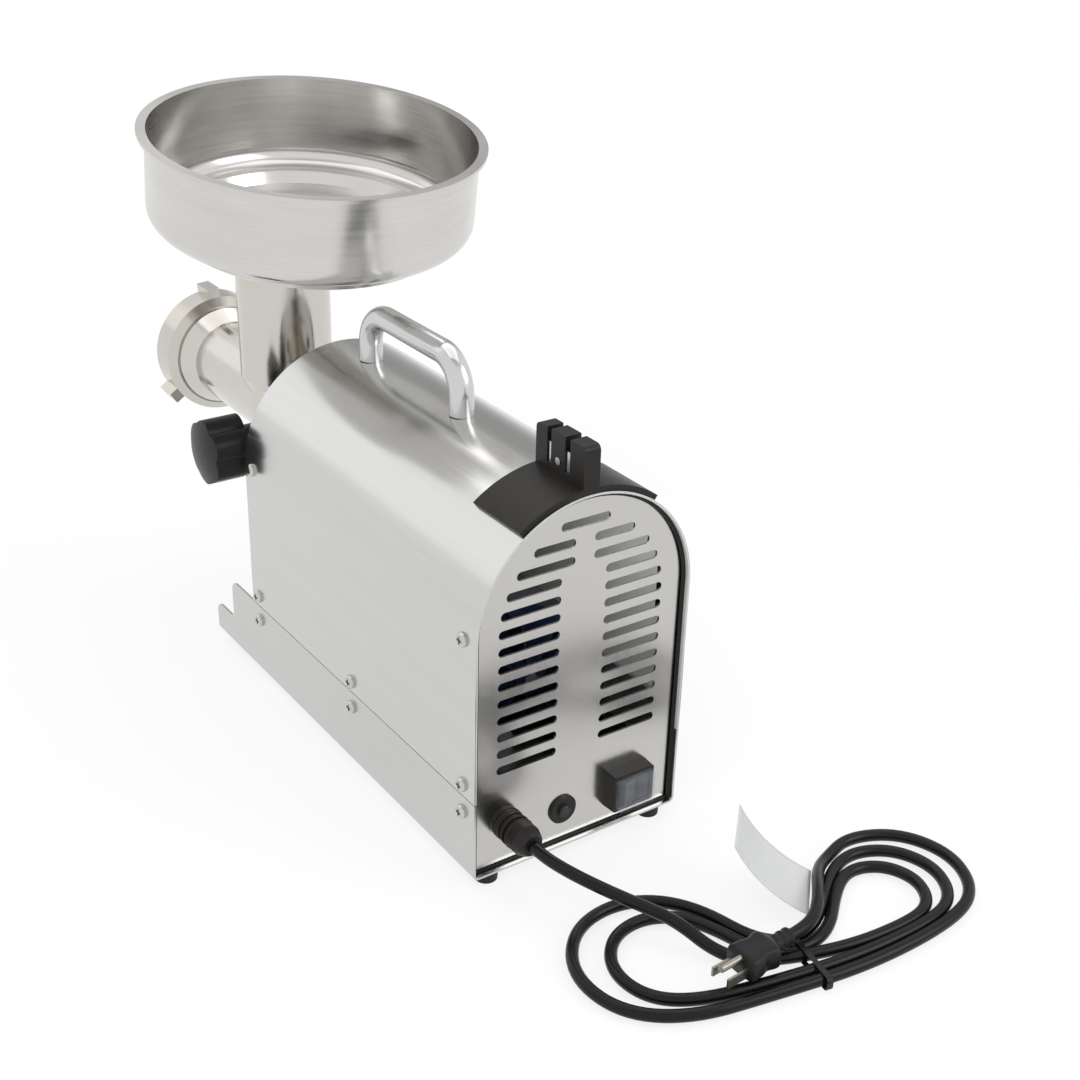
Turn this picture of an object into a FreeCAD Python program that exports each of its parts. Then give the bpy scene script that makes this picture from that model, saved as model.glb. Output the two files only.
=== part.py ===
import FreeCAD, Part
import math
import os

os.makedirs("parts", exist_ok=True)

V = FreeCAD.Vector
X_AXIS = V(1, 0, 0)
Y_AXIS = V(0, 1, 0)
Z_AXIS = V(0, 0, 1)

# Clearances
FIT = 0.1
GAP = 0.3
SEAT = 0.2

# Housing sheet metal
HOUSING_WIDTH = 160.0
COVER_LENGTH = 308.0
SHEET = 1.5
BASE_BEND = 4.0
FOOT_HEIGHT = 8.0
SEAM_HEIGHT = 57.6
SEAM_GAP = 0.5
ARCH_HEIGHT = 168.5
PANEL_RECESS = 5.0
PANEL_EDGE_GAP = 0.4
FLANGE_DEPTH = 22.0
FLANGE_BELOW = 34.0
FLANGE_ABOVE = 12.0

# Stepped front ears of the base
EAR_UPPER = 38.0
EAR_LOWER = 68.5
EAR_STEP_HEIGHT = 25.0
EAR_RADIUS = 8.0
EAR_INNER_RADIUS = 5.0
EAR_CUT_SPARE = 20.0

# Seam rails and screws
RAIL_THICK = 3.0
RAIL_LENGTH = 284.0
RAIL_BELOW = 22.0
RAIL_ABOVE = 18.0
COVER_ROW = 8.2
BASE_ROW = 12.0
SCREW_ROWS = (14.3, 155.7, 297.5)
SCREW_R = 2.5
SCREW_LENGTH = 10.0
SCREW_HEAD_R = 4.8
SCREW_HEAD_H = 2.8
FOOT_R = 8.0
FOOT_TAPER = 0.6
FOOT_INSET = 15.0
FOOT_REAR = 9.0
FOOT_FRONT = 345.0
FOOT_SCREW_SINK = 3.0

# Bow handle
HANDLE_BAR_R = 8.3
HANDLE_RISE = 36.0
HANDLE_REAR = 144.0
HANDLE_SPAN = 119.0
HANDLE_BEND = 24.0
HANDLE_BOLT_R = 4.0
HANDLE_BOLT_GRIP = 22.0

# Knife sharpener on the rear of the cover
SADDLE_THICK = 3.6
SADDLE_HALF_ANGLE = 37.0
SADDLE_LENGTH = 49.5
SADDLE_INSET = 1.5
SHARPENER_HEIGHT = 30.0
SHARPENER_WIDTH = 11.5
SHARPENER_CORNER = 4.0
SHARPENER_SLOTS = ((11.5, 4.2), (29.9, 5.1))
SLOT_DEPTH = 22.0
BLADE_HEIGHT = 13.0
SHARPENER_PIN_R = 2.4
SHARPENER_PIN_PROUD = 0.8
SHARPENER_PIN_AT = 23.7
SHARPENER_PIN_RISE = 12.4

# Vent slots of the rear panel
VENT_PITCH = 12.0
VENT_ROWS = 13
VENT_SLOT = 6.0
VENT_INNER = 16.4
VENT_TOP_INNER = 7.0
VENT_ARC_R = 61.0
VENT_TOP_RISE = 48.4
VENT_CAP_HALF = 18.0

# Rocker switch
SWITCH_X = -40.15
SWITCH_HEIGHT = 28.3
FRAME_WIDTH = 33.6
FRAME_TALL = 28.0
FRAME_CORNER = 1.5
FRAME_PROUD = 10.5
FRAME_TAPER = 0.6
SWITCH_BODY_WIDTH = 27.0
SWITCH_BODY_TALL = 21.0
SWITCH_BODY_DEEP = 36.0
SWITCH_WALL = 1.3
ROCKER_POCKET = 11.0
ROCKER_TILT = 9.0
ROCKER_PIN_R = 1.5
ROCKER_PIVOT_BACK = 3.0
ROCKER_HALF = 10.8
ROCKER_CREST = 5.4
CAP_WALL = 1.0
CAP_PROUD = 5.8

# Reset breaker
BREAKER_X = 9.8
BREAKER_HEIGHT = 25.7
BREAKER_COLLAR_R = 10.2
BREAKER_COLLAR_H = 2.2
BREAKER_CHAMFER = 0.8
BREAKER_NECK_R = 6.0
BREAKER_BODY_R = 9.0
BREAKER_BODY_DEEP = 28.0
BUTTON_R = 4.2
BUTTON_PROUD = 2.8
BUTTON_TRAVEL = 2.5
BUTTON_STEM = 8.0

# Cable gland
GLAND_X = 51.6
GLAND_HEIGHT = 30.5
GLAND_THREAD_R = 8.0
GLAND_THREAD_IN = 11.0
GLAND_BODY_R = 10.5
GLAND_BODY_LENGTH = 11.4
GLAND_RIB = 0.8
GLAND_CAP_R = 10.4
GLAND_CAP_END_R = 7.0
GLAND_CAP_LENGTH = 16.5

# Grinding head
DRIVE_HEIGHT = 172.2
HEAD_REACH = 237.0
BARREL_R = 32.8
BARREL_BORE = 27.5
THREAD_R = 40.5
FLARE_LENGTH = 13.0
FLARE_SPACE = 2.0
FACE_BACK = 11.0
POCKET_DEPTH = 22.0
COLLAR_R = 41.0
COLLAR_FLANGE_R = 56.0
COLLAR_FLANGE = 8.0
COLLAR_MARGIN = 3.0
DRIVE_HOLE_R = 22.0
SPIGOT_START = 2.3
BACK_WALL = 12.0
THROAT_AT = 91.0
THROAT_R = 35.4
THROAT_BORE = 27.5
PLATE_R = 35.0
PLATE_THICK = 10.0
PLATE_BACK = 12.0
PLATE_HOLE_R = 3.2
PLATE_RING_RADII = (12.0, 20.0, 28.2)
PLATE_RING_HOLES = (8, 14, 20)
PLATE_BORE = 5.0
RING_R = 48.5
RING_LENGTH = 30.0
RING_CHAMFER = 5.0
RING_LIP_THICK = 9.0
RING_MOUTH_R = 30.0
RING_LUGS = 3
RING_LUG_REACH = 56.3
RING_LUG_WIDTH = 10.0
RING_LUG_TURN = 5.0
COLLAR_BOLT_R = 3.0
COLLAR_BOLT_CIRCLE = 48.5
COLLAR_BOLTS = 4

# Auger, knife and drive tang
AUGER_CORE_R = 12.0
AUGER_FLIGHT_R = 26.8
AUGER_PITCH = 34.0
AUGER_START = 18.0
AUGER_SHORT = 4.0
FLIGHT_THICK = 6.0
JOURNAL_R = 14.0
TANG_SIDE = 13.0
TANG_BACK = -14.0
SOCKET_BACK = -17.0
STUB_SIDE = 12.0
KNIFE_SPACE = 0.5
KNIFE_THICK = 8.0
KNIFE_REACH = 33.0
KNIFE_ARM = 10.0
KNIFE_HUB_R = 11.5

# Clamp knob on the head collar
KNOB_CLEAR = 2.4
CLAMP_SCREW_R = 5.0
CLAMP_BOSS_R = 12.0
CLAMP_BOSS_END = 58.0
KNOB_START = 72.0
KNOB_LENGTH = 31.0
KNOB_DOME = 4.0
KNOB_LOBES = 6
KNOB_LOBE_R = 12.3
KNOB_LOBE_CIRCLE = 12.3
KNOB_TURN = 28.0
KNOB_HUB_R = 14.0

# Hopper pan, hung on a loose neck with its hole off centre, so it tips back
PAN_RIM_R = 121.5
PAN_WALL_R = 116.0
PAN_SHEET = 1.2
PAN_DEPTH = 75.0
PAN_LEDGE_DEPTH = 67.0
PAN_LEDGE_R = 98.0
PAN_CORNER = 14.0
PAN_LIP = 2.4
PAN_TIP = 8.2
PAN_HOLE_OFFSET = 51.4
PAN_NECK_R = 25.2
PAN_NECK_LENGTH = 14.0
THROAT_RISE = 147.0

# Motor and gears
PINION_TEETH = 12
LAY_GEAR_TEETH = 60
LAY_MODULE = 1.0
LAY_PINION_TEETH = 14
OUTPUT_TEETH = 56
OUTPUT_MODULE = 1.25
PRESSURE_ANGLE = math.radians(25.0)
BACKLASH = 0.3
ADDENDUM = 0.9
DEDENDUM = 1.2
STAGE_TWO_WIDTH = 18.0
STAGE_ONE_WIDTH = 11.0
STAGE_SPACE = 2.5
GEARBOX_FRONT_WALL = 14.0
GEARBOX_CAVITY = 38.0
GEARBOX_HALF = 55.0
GEARBOX_BELOW = 24.0
CAVITY_SPACE = 2.4
LID_THICK = 12.0
LID_BELOW = 54.0
OUTPUT_SHAFT_R = 12.0
LAY_SHAFT_R = 7.0
ROTOR_SHAFT_R = 4.5
BEARING_WIDTH = 8.0
OUTPUT_BEARING_R = 21.0
LAY_BEARING_R = 15.0
ROTOR_BEARING_R = 12.0
SEAL_R = 17.0
SEAL_THICK = 4.0
GEARBOX_BOLT_R = 2.5
GEARBOX_BOLT_HEAD_R = 4.5
GEARBOX_BOLT_HEAD_H = 4.0
GEARBOX_BOLT_LENGTH = 26.0
GEARBOX_BOLT_X = 48.0
GEARBOX_BOLT_RISES = (-36.0, 0.0, 30.0)
MOTOR_R = 52.0
MOTOR_WALL = 3.0
MOTOR_LENGTH = 140.0
END_BELL = 15.0
STATOR_LENGTH = 70.0
STATOR_BORE = 30.0
WINDING_LENGTH = 20.0
WINDING_WALL = 4.0
AIR_GAP = 0.6
FAN_R = 44.0
FAN_HUB_R = 12.0
FAN_WIDTH = 20.0
FAN_BLADES = 9
FAN_SPACE = 4.0
CRADLE_THICK = 4.0
CRADLE_HALF = 38.0
CRADLE_SPACING = 60.0
CAPACITOR_R = 19.0
CAPACITOR_LENGTH = 75.0
STRAP_THICK = 1.5
STRAP_WIDTH = 14.0

# Power cord
CORD_R = 4.0
HANK_LIFT = 1.5
WAIST_X = -50.0
WAIST_BACK = 165.0
LEFT_TURN = -39.3
RIGHT_TURN = 198.2
WAIST_STEP = 9.4
LEFT_LOBES = ((118.0, 36.0), (141.0, 50.0))
RIGHT_LOBES = ((112.0, 24.0), (131.0, 34.5), (150.0, 45.0))
WAIST_BEND = 30.0
LOBE_OPENING = 45.0
LOBE_OPENED = 0.45
LOBE_SPLAY = 1.25
HANK_START = 32.0
HANK_START_SIDE = 1.0
HANK_START_LEAN = 14.0
LEAD_OUT = 17.0
LEAD_RUN = 24.0
TAIL_RUNS = 6
TAIL_PULL = 80.0
TAIL_STRAIGHT = 12.0
PLUG_TURN = 14.0
TIE_WIDTH = 4.0
TIE_THICK = 1.0
PLUG_LENGTH = 40.0
PLUG_WIDTH = 24.0
PLUG_TALL = 17.0
PLUG_TAPER = 14.0
PLUG_START = 9.0
PLUG_SIDE = 9.0
BLADE_LENGTH = 16.0
BLADE_WIDTH = 6.3
BLADE_THICK = 1.5
BLADE_SPACING = 12.7
TAG_WIDTH = 42.0
TAG_THICK = 0.5
TAG_RADIUS = 46.0
TAG_SWEEP = 66.0
TAG_FOOT = (-105.3, 108.3)
TAG_TURN = 45.0

# Places worked out from the sizes above
HALF = HOUSING_WIDTH / 2
GLAND_REACH = GLAND_BODY_LENGTH + GLAND_CAP_LENGTH - PANEL_RECESS
REAR = (COVER_LENGTH + HEAD_REACH - GLAND_REACH) / 2
FRONT = REAR - COVER_LENGTH
BASE_Z = FOOT_HEIGHT
FLOOR_Z = BASE_Z + SHEET
SEAM_Z = BASE_Z + SEAM_HEIGHT
ARCH_Z = BASE_Z + ARCH_HEIGHT
CROWN_Z = ARCH_Z + HALF
INSIDE = HALF - SHEET
PANEL_Y = REAR - PANEL_RECESS
DRIVE_Z = BASE_Z + DRIVE_HEIGHT
LAY_Z = DRIVE_Z - OUTPUT_MODULE * (OUTPUT_TEETH + LAY_PINION_TEETH) / 2
MOTOR_Z = LAY_Z - LAY_MODULE * (LAY_GEAR_TEETH + PINION_TEETH) / 2
PLATE_IN = FRONT + PANEL_RECESS + SHEET
CAVITY_Y = PLATE_IN + GEARBOX_FRONT_WALL
LID_Y = CAVITY_Y + GEARBOX_CAVITY
MOTOR_Y = LID_Y + LID_THICK
BELL_Y = MOTOR_Y + MOTOR_LENGTH
STAGE_TWO_Y = CAVITY_Y + STAGE_SPACE
STAGE_ONE_Y = STAGE_TWO_Y + STAGE_TWO_WIDTH + STAGE_SPACE
STATOR_Y = MOTOR_Y + (MOTOR_LENGTH - STATOR_LENGTH) / 2
THROAT_TOP = DRIVE_Z + THROAT_RISE
KNOB_REACH = KNOB_LOBE_CIRCLE + KNOB_LOBE_R
CLAMP_Y = FRONT - KNOB_CLEAR - KNOB_REACH
COLLAR_END = CLAMP_Y - CLAMP_BOSS_R - COLLAR_MARGIN
RING_BACK = HEAD_REACH - RING_LENGTH
RING_LIP = HEAD_REACH - RING_LIP_THICK
FLARE_END = RING_BACK - FLARE_SPACE
FLARE_START = FLARE_END - FLARE_LENGTH
HEAD_FACE = HEAD_REACH - FACE_BACK
PLATE_POCKET = HEAD_FACE - POCKET_DEPTH
PLATE_AT = HEAD_FACE - PLATE_BACK
KNIFE_AT = PLATE_AT - KNIFE_THICK - KNIFE_SPACE
AUGER_END = PLATE_POCKET - AUGER_SHORT

nodes = {}


def keep(name, solids):
    """Stores one node as a solid or a group of separate solids."""
    if isinstance(solids, (list, tuple)):
        nodes[name] = Part.makeCompound(list(solids))
    else:
        nodes[name] = solids


def box(x0, x1, y0, y1, z0, z1):
    return Part.makeBox(x1 - x0, y1 - y0, z1 - z0, V(x0, y0, z0))


def rod(radius, start, axis, length):
    return Part.makeCylinder(radius, length, start, axis)


def along_y(radius, y0, y1, x=0.0, z=0.0):
    return rod(radius, V(x, y0, z), Y_AXIS, y1 - y0)


def along_x(radius, x0, x1, y=0.0, z=0.0):
    return rod(radius, V(x0, y, z), X_AXIS, x1 - x0)


def ring_y(outer, inner, y0, y1, x=0.0, z=0.0):
    return along_y(outer, y0, y1, x, z).cut(along_y(inner, y0 - 1, y1 + 1, x, z))


def turned_y(profile, z, x=0.0):
    """Solid of revolution about a line along Y, from (y, radius) points."""
    points = [V(x, y, z + radius) for y, radius in profile]
    face = Part.Face(Part.makePolygon(points + points[:1]))
    return face.revolve(V(x, 0, z), Y_AXIS, 360)


def corner_arc(before, corner, after, radius):
    """Tangent arc that rounds one corner of an outline."""
    back = (before - corner).normalize()
    ahead = (after - corner).normalize()
    half = back.getAngle(ahead) / 2
    reach = radius / math.tan(half)
    middle = (back + ahead).normalize()
    nearest = corner + middle * (radius / math.sin(half) - radius)
    return corner + back * reach, nearest, corner + ahead * reach


def rounded_wire(points, radii):
    """Closed outline of straight runs with rounded corners."""
    edges = []
    ends = []
    count = len(points)
    for i, corner in enumerate(points):
        if radii[i] > 0:
            start, nearest, stop = corner_arc(points[i - 1], corner, points[(i + 1) % count], radii[i])
            edges.append(Part.Arc(start, nearest, stop).toShape())
            ends.append((start, stop))
        else:
            ends.append((corner, corner))
    for i in range(count):
        start = ends[i][1]
        stop = ends[(i + 1) % count][0]
        if start.distanceToPoint(stop) > 1e-6:
            edges.append(Part.LineSegment(start, stop).toShape())
    return Part.Wire(Part.__sortEdges__(edges))


def prism(points, radii, sweep):
    return Part.Face(rounded_wire(points, radii)).extrude(sweep)


def arch_prism(half, bottom, centre, y0, y1):
    """Upright arch outline, extruded along Y."""
    left = V(-half, y0, centre)
    right = V(half, y0, centre)
    edges = [
        Part.Arc(left, V(0, y0, centre + half), right).toShape(),
        Part.LineSegment(right, V(half, y0, bottom)).toShape(),
        Part.LineSegment(V(half, y0, bottom), V(-half, y0, bottom)).toShape(),
        Part.LineSegment(V(-half, y0, bottom), left).toShape(),
    ]
    return Part.Face(Part.Wire(edges)).extrude(V(0, y1 - y0, 0))


def both_sides(solid):
    return [solid, solid.mirror(V(0, 0, 0), X_AXIS)]


def base_tray():
    length = COVER_LENGTH + EAR_LOWER
    y0 = REAR - length
    top = SEAM_Z - SEAM_GAP / 2
    outer = [V(-HALF, y0, top), V(-HALF, y0, BASE_Z), V(HALF, y0, BASE_Z), V(HALF, y0, top)]
    inner = [V(-INSIDE, y0, top + 1), V(-INSIDE, y0, FLOOR_Z), V(INSIDE, y0, FLOOR_Z), V(INSIDE, y0, top + 1)]
    bend_in = BASE_BEND - SHEET
    tray = prism(outer, [0, BASE_BEND, BASE_BEND, 0], V(0, length, 0))
    tray = tray.cut(prism(inner, [0, bend_in, bend_in, 0], V(0, length, 0)))
    far = EAR_LOWER + EAR_CUT_SPARE
    outline = [
        (EAR_UPPER - 2 * EAR_RADIUS, SEAM_HEIGHT - SEAM_GAP / 2, 0),
        (EAR_UPPER, SEAM_HEIGHT - SEAM_GAP / 2, EAR_RADIUS),
        (EAR_UPPER, EAR_STEP_HEIGHT, EAR_INNER_RADIUS),
        (EAR_LOWER, EAR_STEP_HEIGHT, EAR_RADIUS),
        (EAR_LOWER, -SHEET, 0),
        (far, -SHEET, 0),
        (far, SEAM_HEIGHT + far, 0),
        (EAR_UPPER - 2 * EAR_RADIUS, SEAM_HEIGHT + far, 0),
    ]
    points = [V(-HALF - 1, FRONT - s, BASE_Z + z) for s, z, r in outline]
    tray = tray.cut(prism(points, [r for s, z, r in outline], V(HOUSING_WIDTH + 2, 0, 0)))
    for row in SCREW_ROWS:
        tray = tray.cut(along_x(SCREW_R + SEAT, -HALF - 1, HALF + 1, REAR - row, SEAM_Z - BASE_ROW))
    for x, y in foot_places():
        tray = tray.cut(rod(SCREW_R + SEAT, V(x, y, 0), Z_AXIS, FLOOR_Z + 1))
    keep("base_tray", tray)


def housing_cover():
    bottom = SEAM_Z + SEAM_GAP / 2
    cover = arch_prism(HALF, bottom, ARCH_Z, FRONT, REAR)
    cover = cover.cut(arch_prism(INSIDE, bottom - 1, ARCH_Z, FRONT - 1, REAR + 1))
    for y, z in cover_screw_places():
        cover = cover.cut(along_x(SCREW_R + SEAT, -HALF - 1, HALF + 1, y, z))
    for y in handle_places():
        cover = cover.cut(rod(HANDLE_BOLT_R + SEAT, V(0, y, ARCH_Z), Z_AXIS, HALF + 1))
    keep("housing_cover", cover)


def cover_screw_places():
    """Screws through the cover on one side: the seam row and the two upper ones."""
    places = [(REAR - row, SEAM_Z + COVER_ROW) for row in SCREW_ROWS]
    places += [(REAR - SCREW_ROWS[0], ARCH_Z), (REAR - SCREW_ROWS[-1], ARCH_Z)]
    return places


def foot_places():
    x = HALF - FOOT_INSET
    return [(side * x, REAR - back) for side in (-1, 1) for back in (FOOT_REAR, FOOT_FRONT)]


def handle_places():
    return [REAR - HANDLE_REAR, REAR - HANDLE_REAR - HANDLE_SPAN]


def side_screw(y, z):
    """Pan head screw in the +X side, with its cross recess."""
    head = along_x(SCREW_HEAD_R, HALF, HALF + SCREW_HEAD_H, y, z)
    crown = [e for e in head.Edges if abs(e.BoundBox.XMin - HALF - SCREW_HEAD_H) < 1e-6 and e.BoundBox.XLength < 1e-6]
    head = head.makeFillet(SCREW_HEAD_H * 0.7, crown)
    slot = SCREW_HEAD_R * 0.55
    width = SCREW_R * 0.28
    depth = HALF + SCREW_HEAD_H * 0.45
    head = head.cut(box(depth, HALF + SCREW_HEAD_H + 1, y - slot, y + slot, z - width, z + width))
    head = head.cut(box(depth, HALF + SCREW_HEAD_H + 1, y - width, y + width, z - slot, z + slot))
    return head.fuse(along_x(SCREW_R, HALF - SCREW_LENGTH, HALF, y, z)).removeSplitter()


def panels():
    """Slotted rear panel and front plate, with flanges for the upper screws."""
    half = INSIDE - PANEL_EDGE_GAP
    bottom = FLOOR_Z + GAP
    for name, y0, inward, row in (("rear_panel", PANEL_Y - SHEET, -1, SCREW_ROWS[0]),
                                  ("front_plate", FRONT + PANEL_RECESS, 1, SCREW_ROWS[-1])):
        plate = arch_prism(half, bottom, ARCH_Z, y0, y0 + SHEET)
        notch = BASE_BEND - SHEET
        corner = box(half - notch, half + 1, y0 - 1, y0 + SHEET + 1, bottom - 1, bottom + notch)
        plate = plate.cut(Part.makeCompound(both_sides(corner)))
        start = y0 - FLANGE_DEPTH if inward < 0 else y0 + SHEET
        flange = box(half - SHEET, half, start, start + FLANGE_DEPTH, ARCH_Z - FLANGE_BELOW, ARCH_Z)
        plate = plate.multiFuse(both_sides(flange)).removeSplitter()
        plate = plate.cut(along_x(SCREW_R + FIT, -HALF, HALF, REAR - row, ARCH_Z))
        screw_room = FLANGE_ABOVE / 2
        plate = plate.multiFuse(both_sides(ear_tab(half, start, row, screw_room))).removeSplitter()
        keep(name, plate)
    rear = nodes["rear_panel"]
    rear = rear.cut(Part.makeCompound(vent_slots()))
    rear = rear.cut(along_y(BREAKER_NECK_R + GAP, PANEL_Y - 9, PANEL_Y + 9, BREAKER_X, BASE_Z + BREAKER_HEIGHT))
    rear = rear.cut(along_y(GLAND_THREAD_R + GAP, PANEL_Y - 9, PANEL_Y + 9, GLAND_X, BASE_Z + GLAND_HEIGHT))
    half_w = SWITCH_BODY_WIDTH / 2 + GAP
    half_t = SWITCH_BODY_TALL / 2 + GAP
    z = BASE_Z + SWITCH_HEIGHT
    rear = rear.cut(box(SWITCH_X - half_w, SWITCH_X + half_w, PANEL_Y - 9, PANEL_Y + 9, z - half_t, z + half_t))
    keep("rear_panel", rear)
    front = nodes["front_plate"]
    front = front.cut(along_y(DRIVE_HOLE_R, FRONT, PLATE_IN + 1, 0, DRIVE_Z))
    for x, z in collar_bolt_places():
        front = front.cut(along_y(COLLAR_BOLT_R + SEAT, FRONT, PLATE_IN + 1, x, z))
    keep("front_plate", front)


def ear_tab(half, start, row, room):
    """Rounded tab of the flange above the screw, following the arch."""
    tab = box(half - SHEET, half, start, start + FLANGE_DEPTH, ARCH_Z - SHEET, ARCH_Z + room)
    tab = tab.common(arch_prism(half, ARCH_Z - SHEET - 1, ARCH_Z, start - 1, start + FLANGE_DEPTH + 1))
    return tab.cut(along_x(SCREW_R + FIT, 0, HALF, REAR - row, ARCH_Z))


def vent_slot(x0, x1, z):
    r = VENT_SLOT / 2
    y = PANEL_Y - 9
    slot = box(x0 + r, x1 - r, y, PANEL_Y + 9, z - r, z + r)
    return slot.multiFuse([along_y(r, y, PANEL_Y + 9, x0 + r, z), along_y(r, y, PANEL_Y + 9, x1 - r, z)])


def vent_slots():
    slots = [vent_slot(-VENT_CAP_HALF, VENT_CAP_HALF, ARCH_Z + VENT_TOP_RISE + VENT_PITCH)]
    for i in range(VENT_ROWS):
        rise = VENT_TOP_RISE - i * VENT_PITCH
        outer = VENT_ARC_R if rise <= 0 else math.sqrt(VENT_ARC_R ** 2 - rise ** 2)
        inner = VENT_INNER if i > 1 else VENT_TOP_INNER
        slots.append(vent_slot(inner, outer, ARCH_Z + rise))
        slots.append(vent_slot(-outer, -inner, ARCH_Z + rise))
    return slots


def rails_and_screws():
    y0 = REAR - (COVER_LENGTH + RAIL_LENGTH) / 2
    rail = box(INSIDE - RAIL_THICK, INSIDE, y0, y0 + RAIL_LENGTH, SEAM_Z - RAIL_BELOW, SEAM_Z + RAIL_ABOVE)
    for row in SCREW_ROWS:
        for z in (SEAM_Z + COVER_ROW, SEAM_Z - BASE_ROW):
            rail = rail.cut(along_x(SCREW_R + FIT, 0, HALF, REAR - row, z))
    right, left = both_sides(rail)
    keep("rail_right", right)
    keep("rail_left", left)
    cover = [s for y, z in cover_screw_places() for s in both_sides(side_screw(y, z))]
    keep("cover_screws", cover)
    keep("base_screws", [s for row in SCREW_ROWS for s in both_sides(side_screw(REAR - row, SEAM_Z - BASE_ROW))])


def feet():
    foot_solids = []
    screws = []
    for x, y in foot_places():
        foot = Part.makeCone(FOOT_R - FOOT_TAPER, FOOT_R, FOOT_HEIGHT, V(x, y, 0))
        sunk = FOOT_SCREW_SINK + SCREW_HEAD_H
        foot = foot.cut(rod(SCREW_HEAD_R + GAP, V(x, y, 0), Z_AXIS, sunk))
        foot = foot.cut(rod(SCREW_R + SEAT, V(x, y, 0), Z_AXIS, FOOT_HEIGHT))
        foot_solids.append(foot)
        head = rod(SCREW_HEAD_R, V(x, y, FOOT_SCREW_SINK), Z_AXIS, SCREW_HEAD_H)
        shank = rod(SCREW_R, V(x, y, sunk), Z_AXIS, FLOOR_Z - sunk)
        screws.append(head.fuse(shank).removeSplitter())
    keep("rubber_feet", foot_solids)
    keep("foot_screws", screws)


def handle():
    rear_y, front_y = handle_places()
    top = CROWN_Z + HANDLE_RISE
    foot = CROWN_Z + FIT
    b = HANDLE_BEND
    k = b * (1 - math.sqrt(0.5))
    edges = [
        Part.LineSegment(V(0, front_y, foot), V(0, front_y, top - b)),
        Part.Arc(V(0, front_y, top - b), V(0, front_y + k, top - k), V(0, front_y + b, top)),
        Part.LineSegment(V(0, front_y + b, top), V(0, rear_y - b, top)),
        Part.Arc(V(0, rear_y - b, top), V(0, rear_y - k, top - k), V(0, rear_y, top - b)),
        Part.LineSegment(V(0, rear_y, top - b), V(0, rear_y, foot)),
    ]
    path = Part.Wire([e.toShape() for e in edges])
    section = Part.Wire(Part.makeCircle(HANDLE_BAR_R, V(0, front_y, foot), Z_AXIS))
    bar = path.makePipeShell([section], True, False)
    bolts = []
    for y in (rear_y, front_y):
        bar = bar.cut(rod(HANDLE_BOLT_R + FIT, V(0, y, foot - 1), Z_AXIS, HANDLE_BOLT_GRIP + 1))
        head_z = CROWN_Z - SHEET - HANDLE_BOLT_R
        head = rod(HANDLE_BOLT_R * 1.6, V(0, y, head_z), Z_AXIS, HANDLE_BOLT_R - SEAT)
        shank = rod(HANDLE_BOLT_R, V(0, y, head_z), Z_AXIS, HANDLE_BOLT_GRIP + HANDLE_BOLT_R)
        bolts.append(head.fuse(shank).removeSplitter())
    keep("carry_handle", bar)
    keep("handle_bolts", bolts)


def sharpener():
    y1 = REAR - SADDLE_INSET
    y0 = y1 - SADDLE_LENGTH
    saddle = ring_y(HALF + SADDLE_THICK, HALF + FIT, y0, y1, 0, ARCH_Z)
    reach = 2 * HALF
    a = math.radians(SADDLE_HALF_ANGLE)
    wedge = [V(0, y0 - 1, ARCH_Z), V(-reach * math.sin(a), y0 - 1, ARCH_Z + reach * math.cos(a)),
             V(reach * math.sin(a), y0 - 1, ARCH_Z + reach * math.cos(a))]
    saddle = saddle.common(prism(wedge, [0, 0, 0], V(0, SADDLE_LENGTH + 2, 0)))
    half = SHARPENER_WIDTH / 2
    top = CROWN_Z + SHARPENER_HEIGHT
    low = CROWN_Z + SADDLE_THICK / 2
    outline = [V(-half, y0, low), V(-half, y1, low), V(-half, y1, top), V(-half, y0, top)]
    block = prism(outline, [0, 0, SHARPENER_CORNER, SHARPENER_CORNER], V(SHARPENER_WIDTH, 0, 0))
    blades = []
    for start, width in SHARPENER_SLOTS:
        s0 = y0 + start
        block = block.cut(box(-half - 1, half + 1, s0, s0 + width, top - SLOT_DEPTH, top + 1))
        notch_z = top - SLOT_DEPTH
        outline = [V(-half + 1, s0 + FIT, notch_z), V(half - 1, s0 + FIT, notch_z),
                   V(half - 1, s0 + FIT, notch_z + BLADE_HEIGHT), V(0, s0 + FIT, notch_z + BLADE_HEIGHT / 3),
                   V(-half + 1, s0 + FIT, notch_z + BLADE_HEIGHT)]
        blades.append(prism(outline, [0] * 5, V(0, width - 2 * FIT, 0)))
    body = saddle.fuse(block).removeSplitter()
    pin_y = y0 + SHARPENER_PIN_AT
    pin_z = CROWN_Z + SHARPENER_PIN_RISE
    body = body.cut(along_x(SHARPENER_PIN_R + FIT, -HALF, HALF, pin_y, pin_z))
    keep("sharpener_body", body)
    keep("sharpener_blades", blades)
    proud = half + SHARPENER_PIN_PROUD
    keep("sharpener_pin", along_x(SHARPENER_PIN_R, -proud, proud, pin_y, pin_z))


def octagon(half_w, half_t, corner, y, x, z):
    points = []
    for sx, sz in ((1, 1), (-1, 1), (-1, -1), (1, -1)):
        side = V(x + sx * half_w, y, z + sz * (half_t - corner))
        tip = V(x + sx * (half_w - corner), y, z + sz * half_t)
        points += [side, tip] if sx * sz > 0 else [tip, side]
    return Part.makePolygon(points + points[:1])


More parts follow.
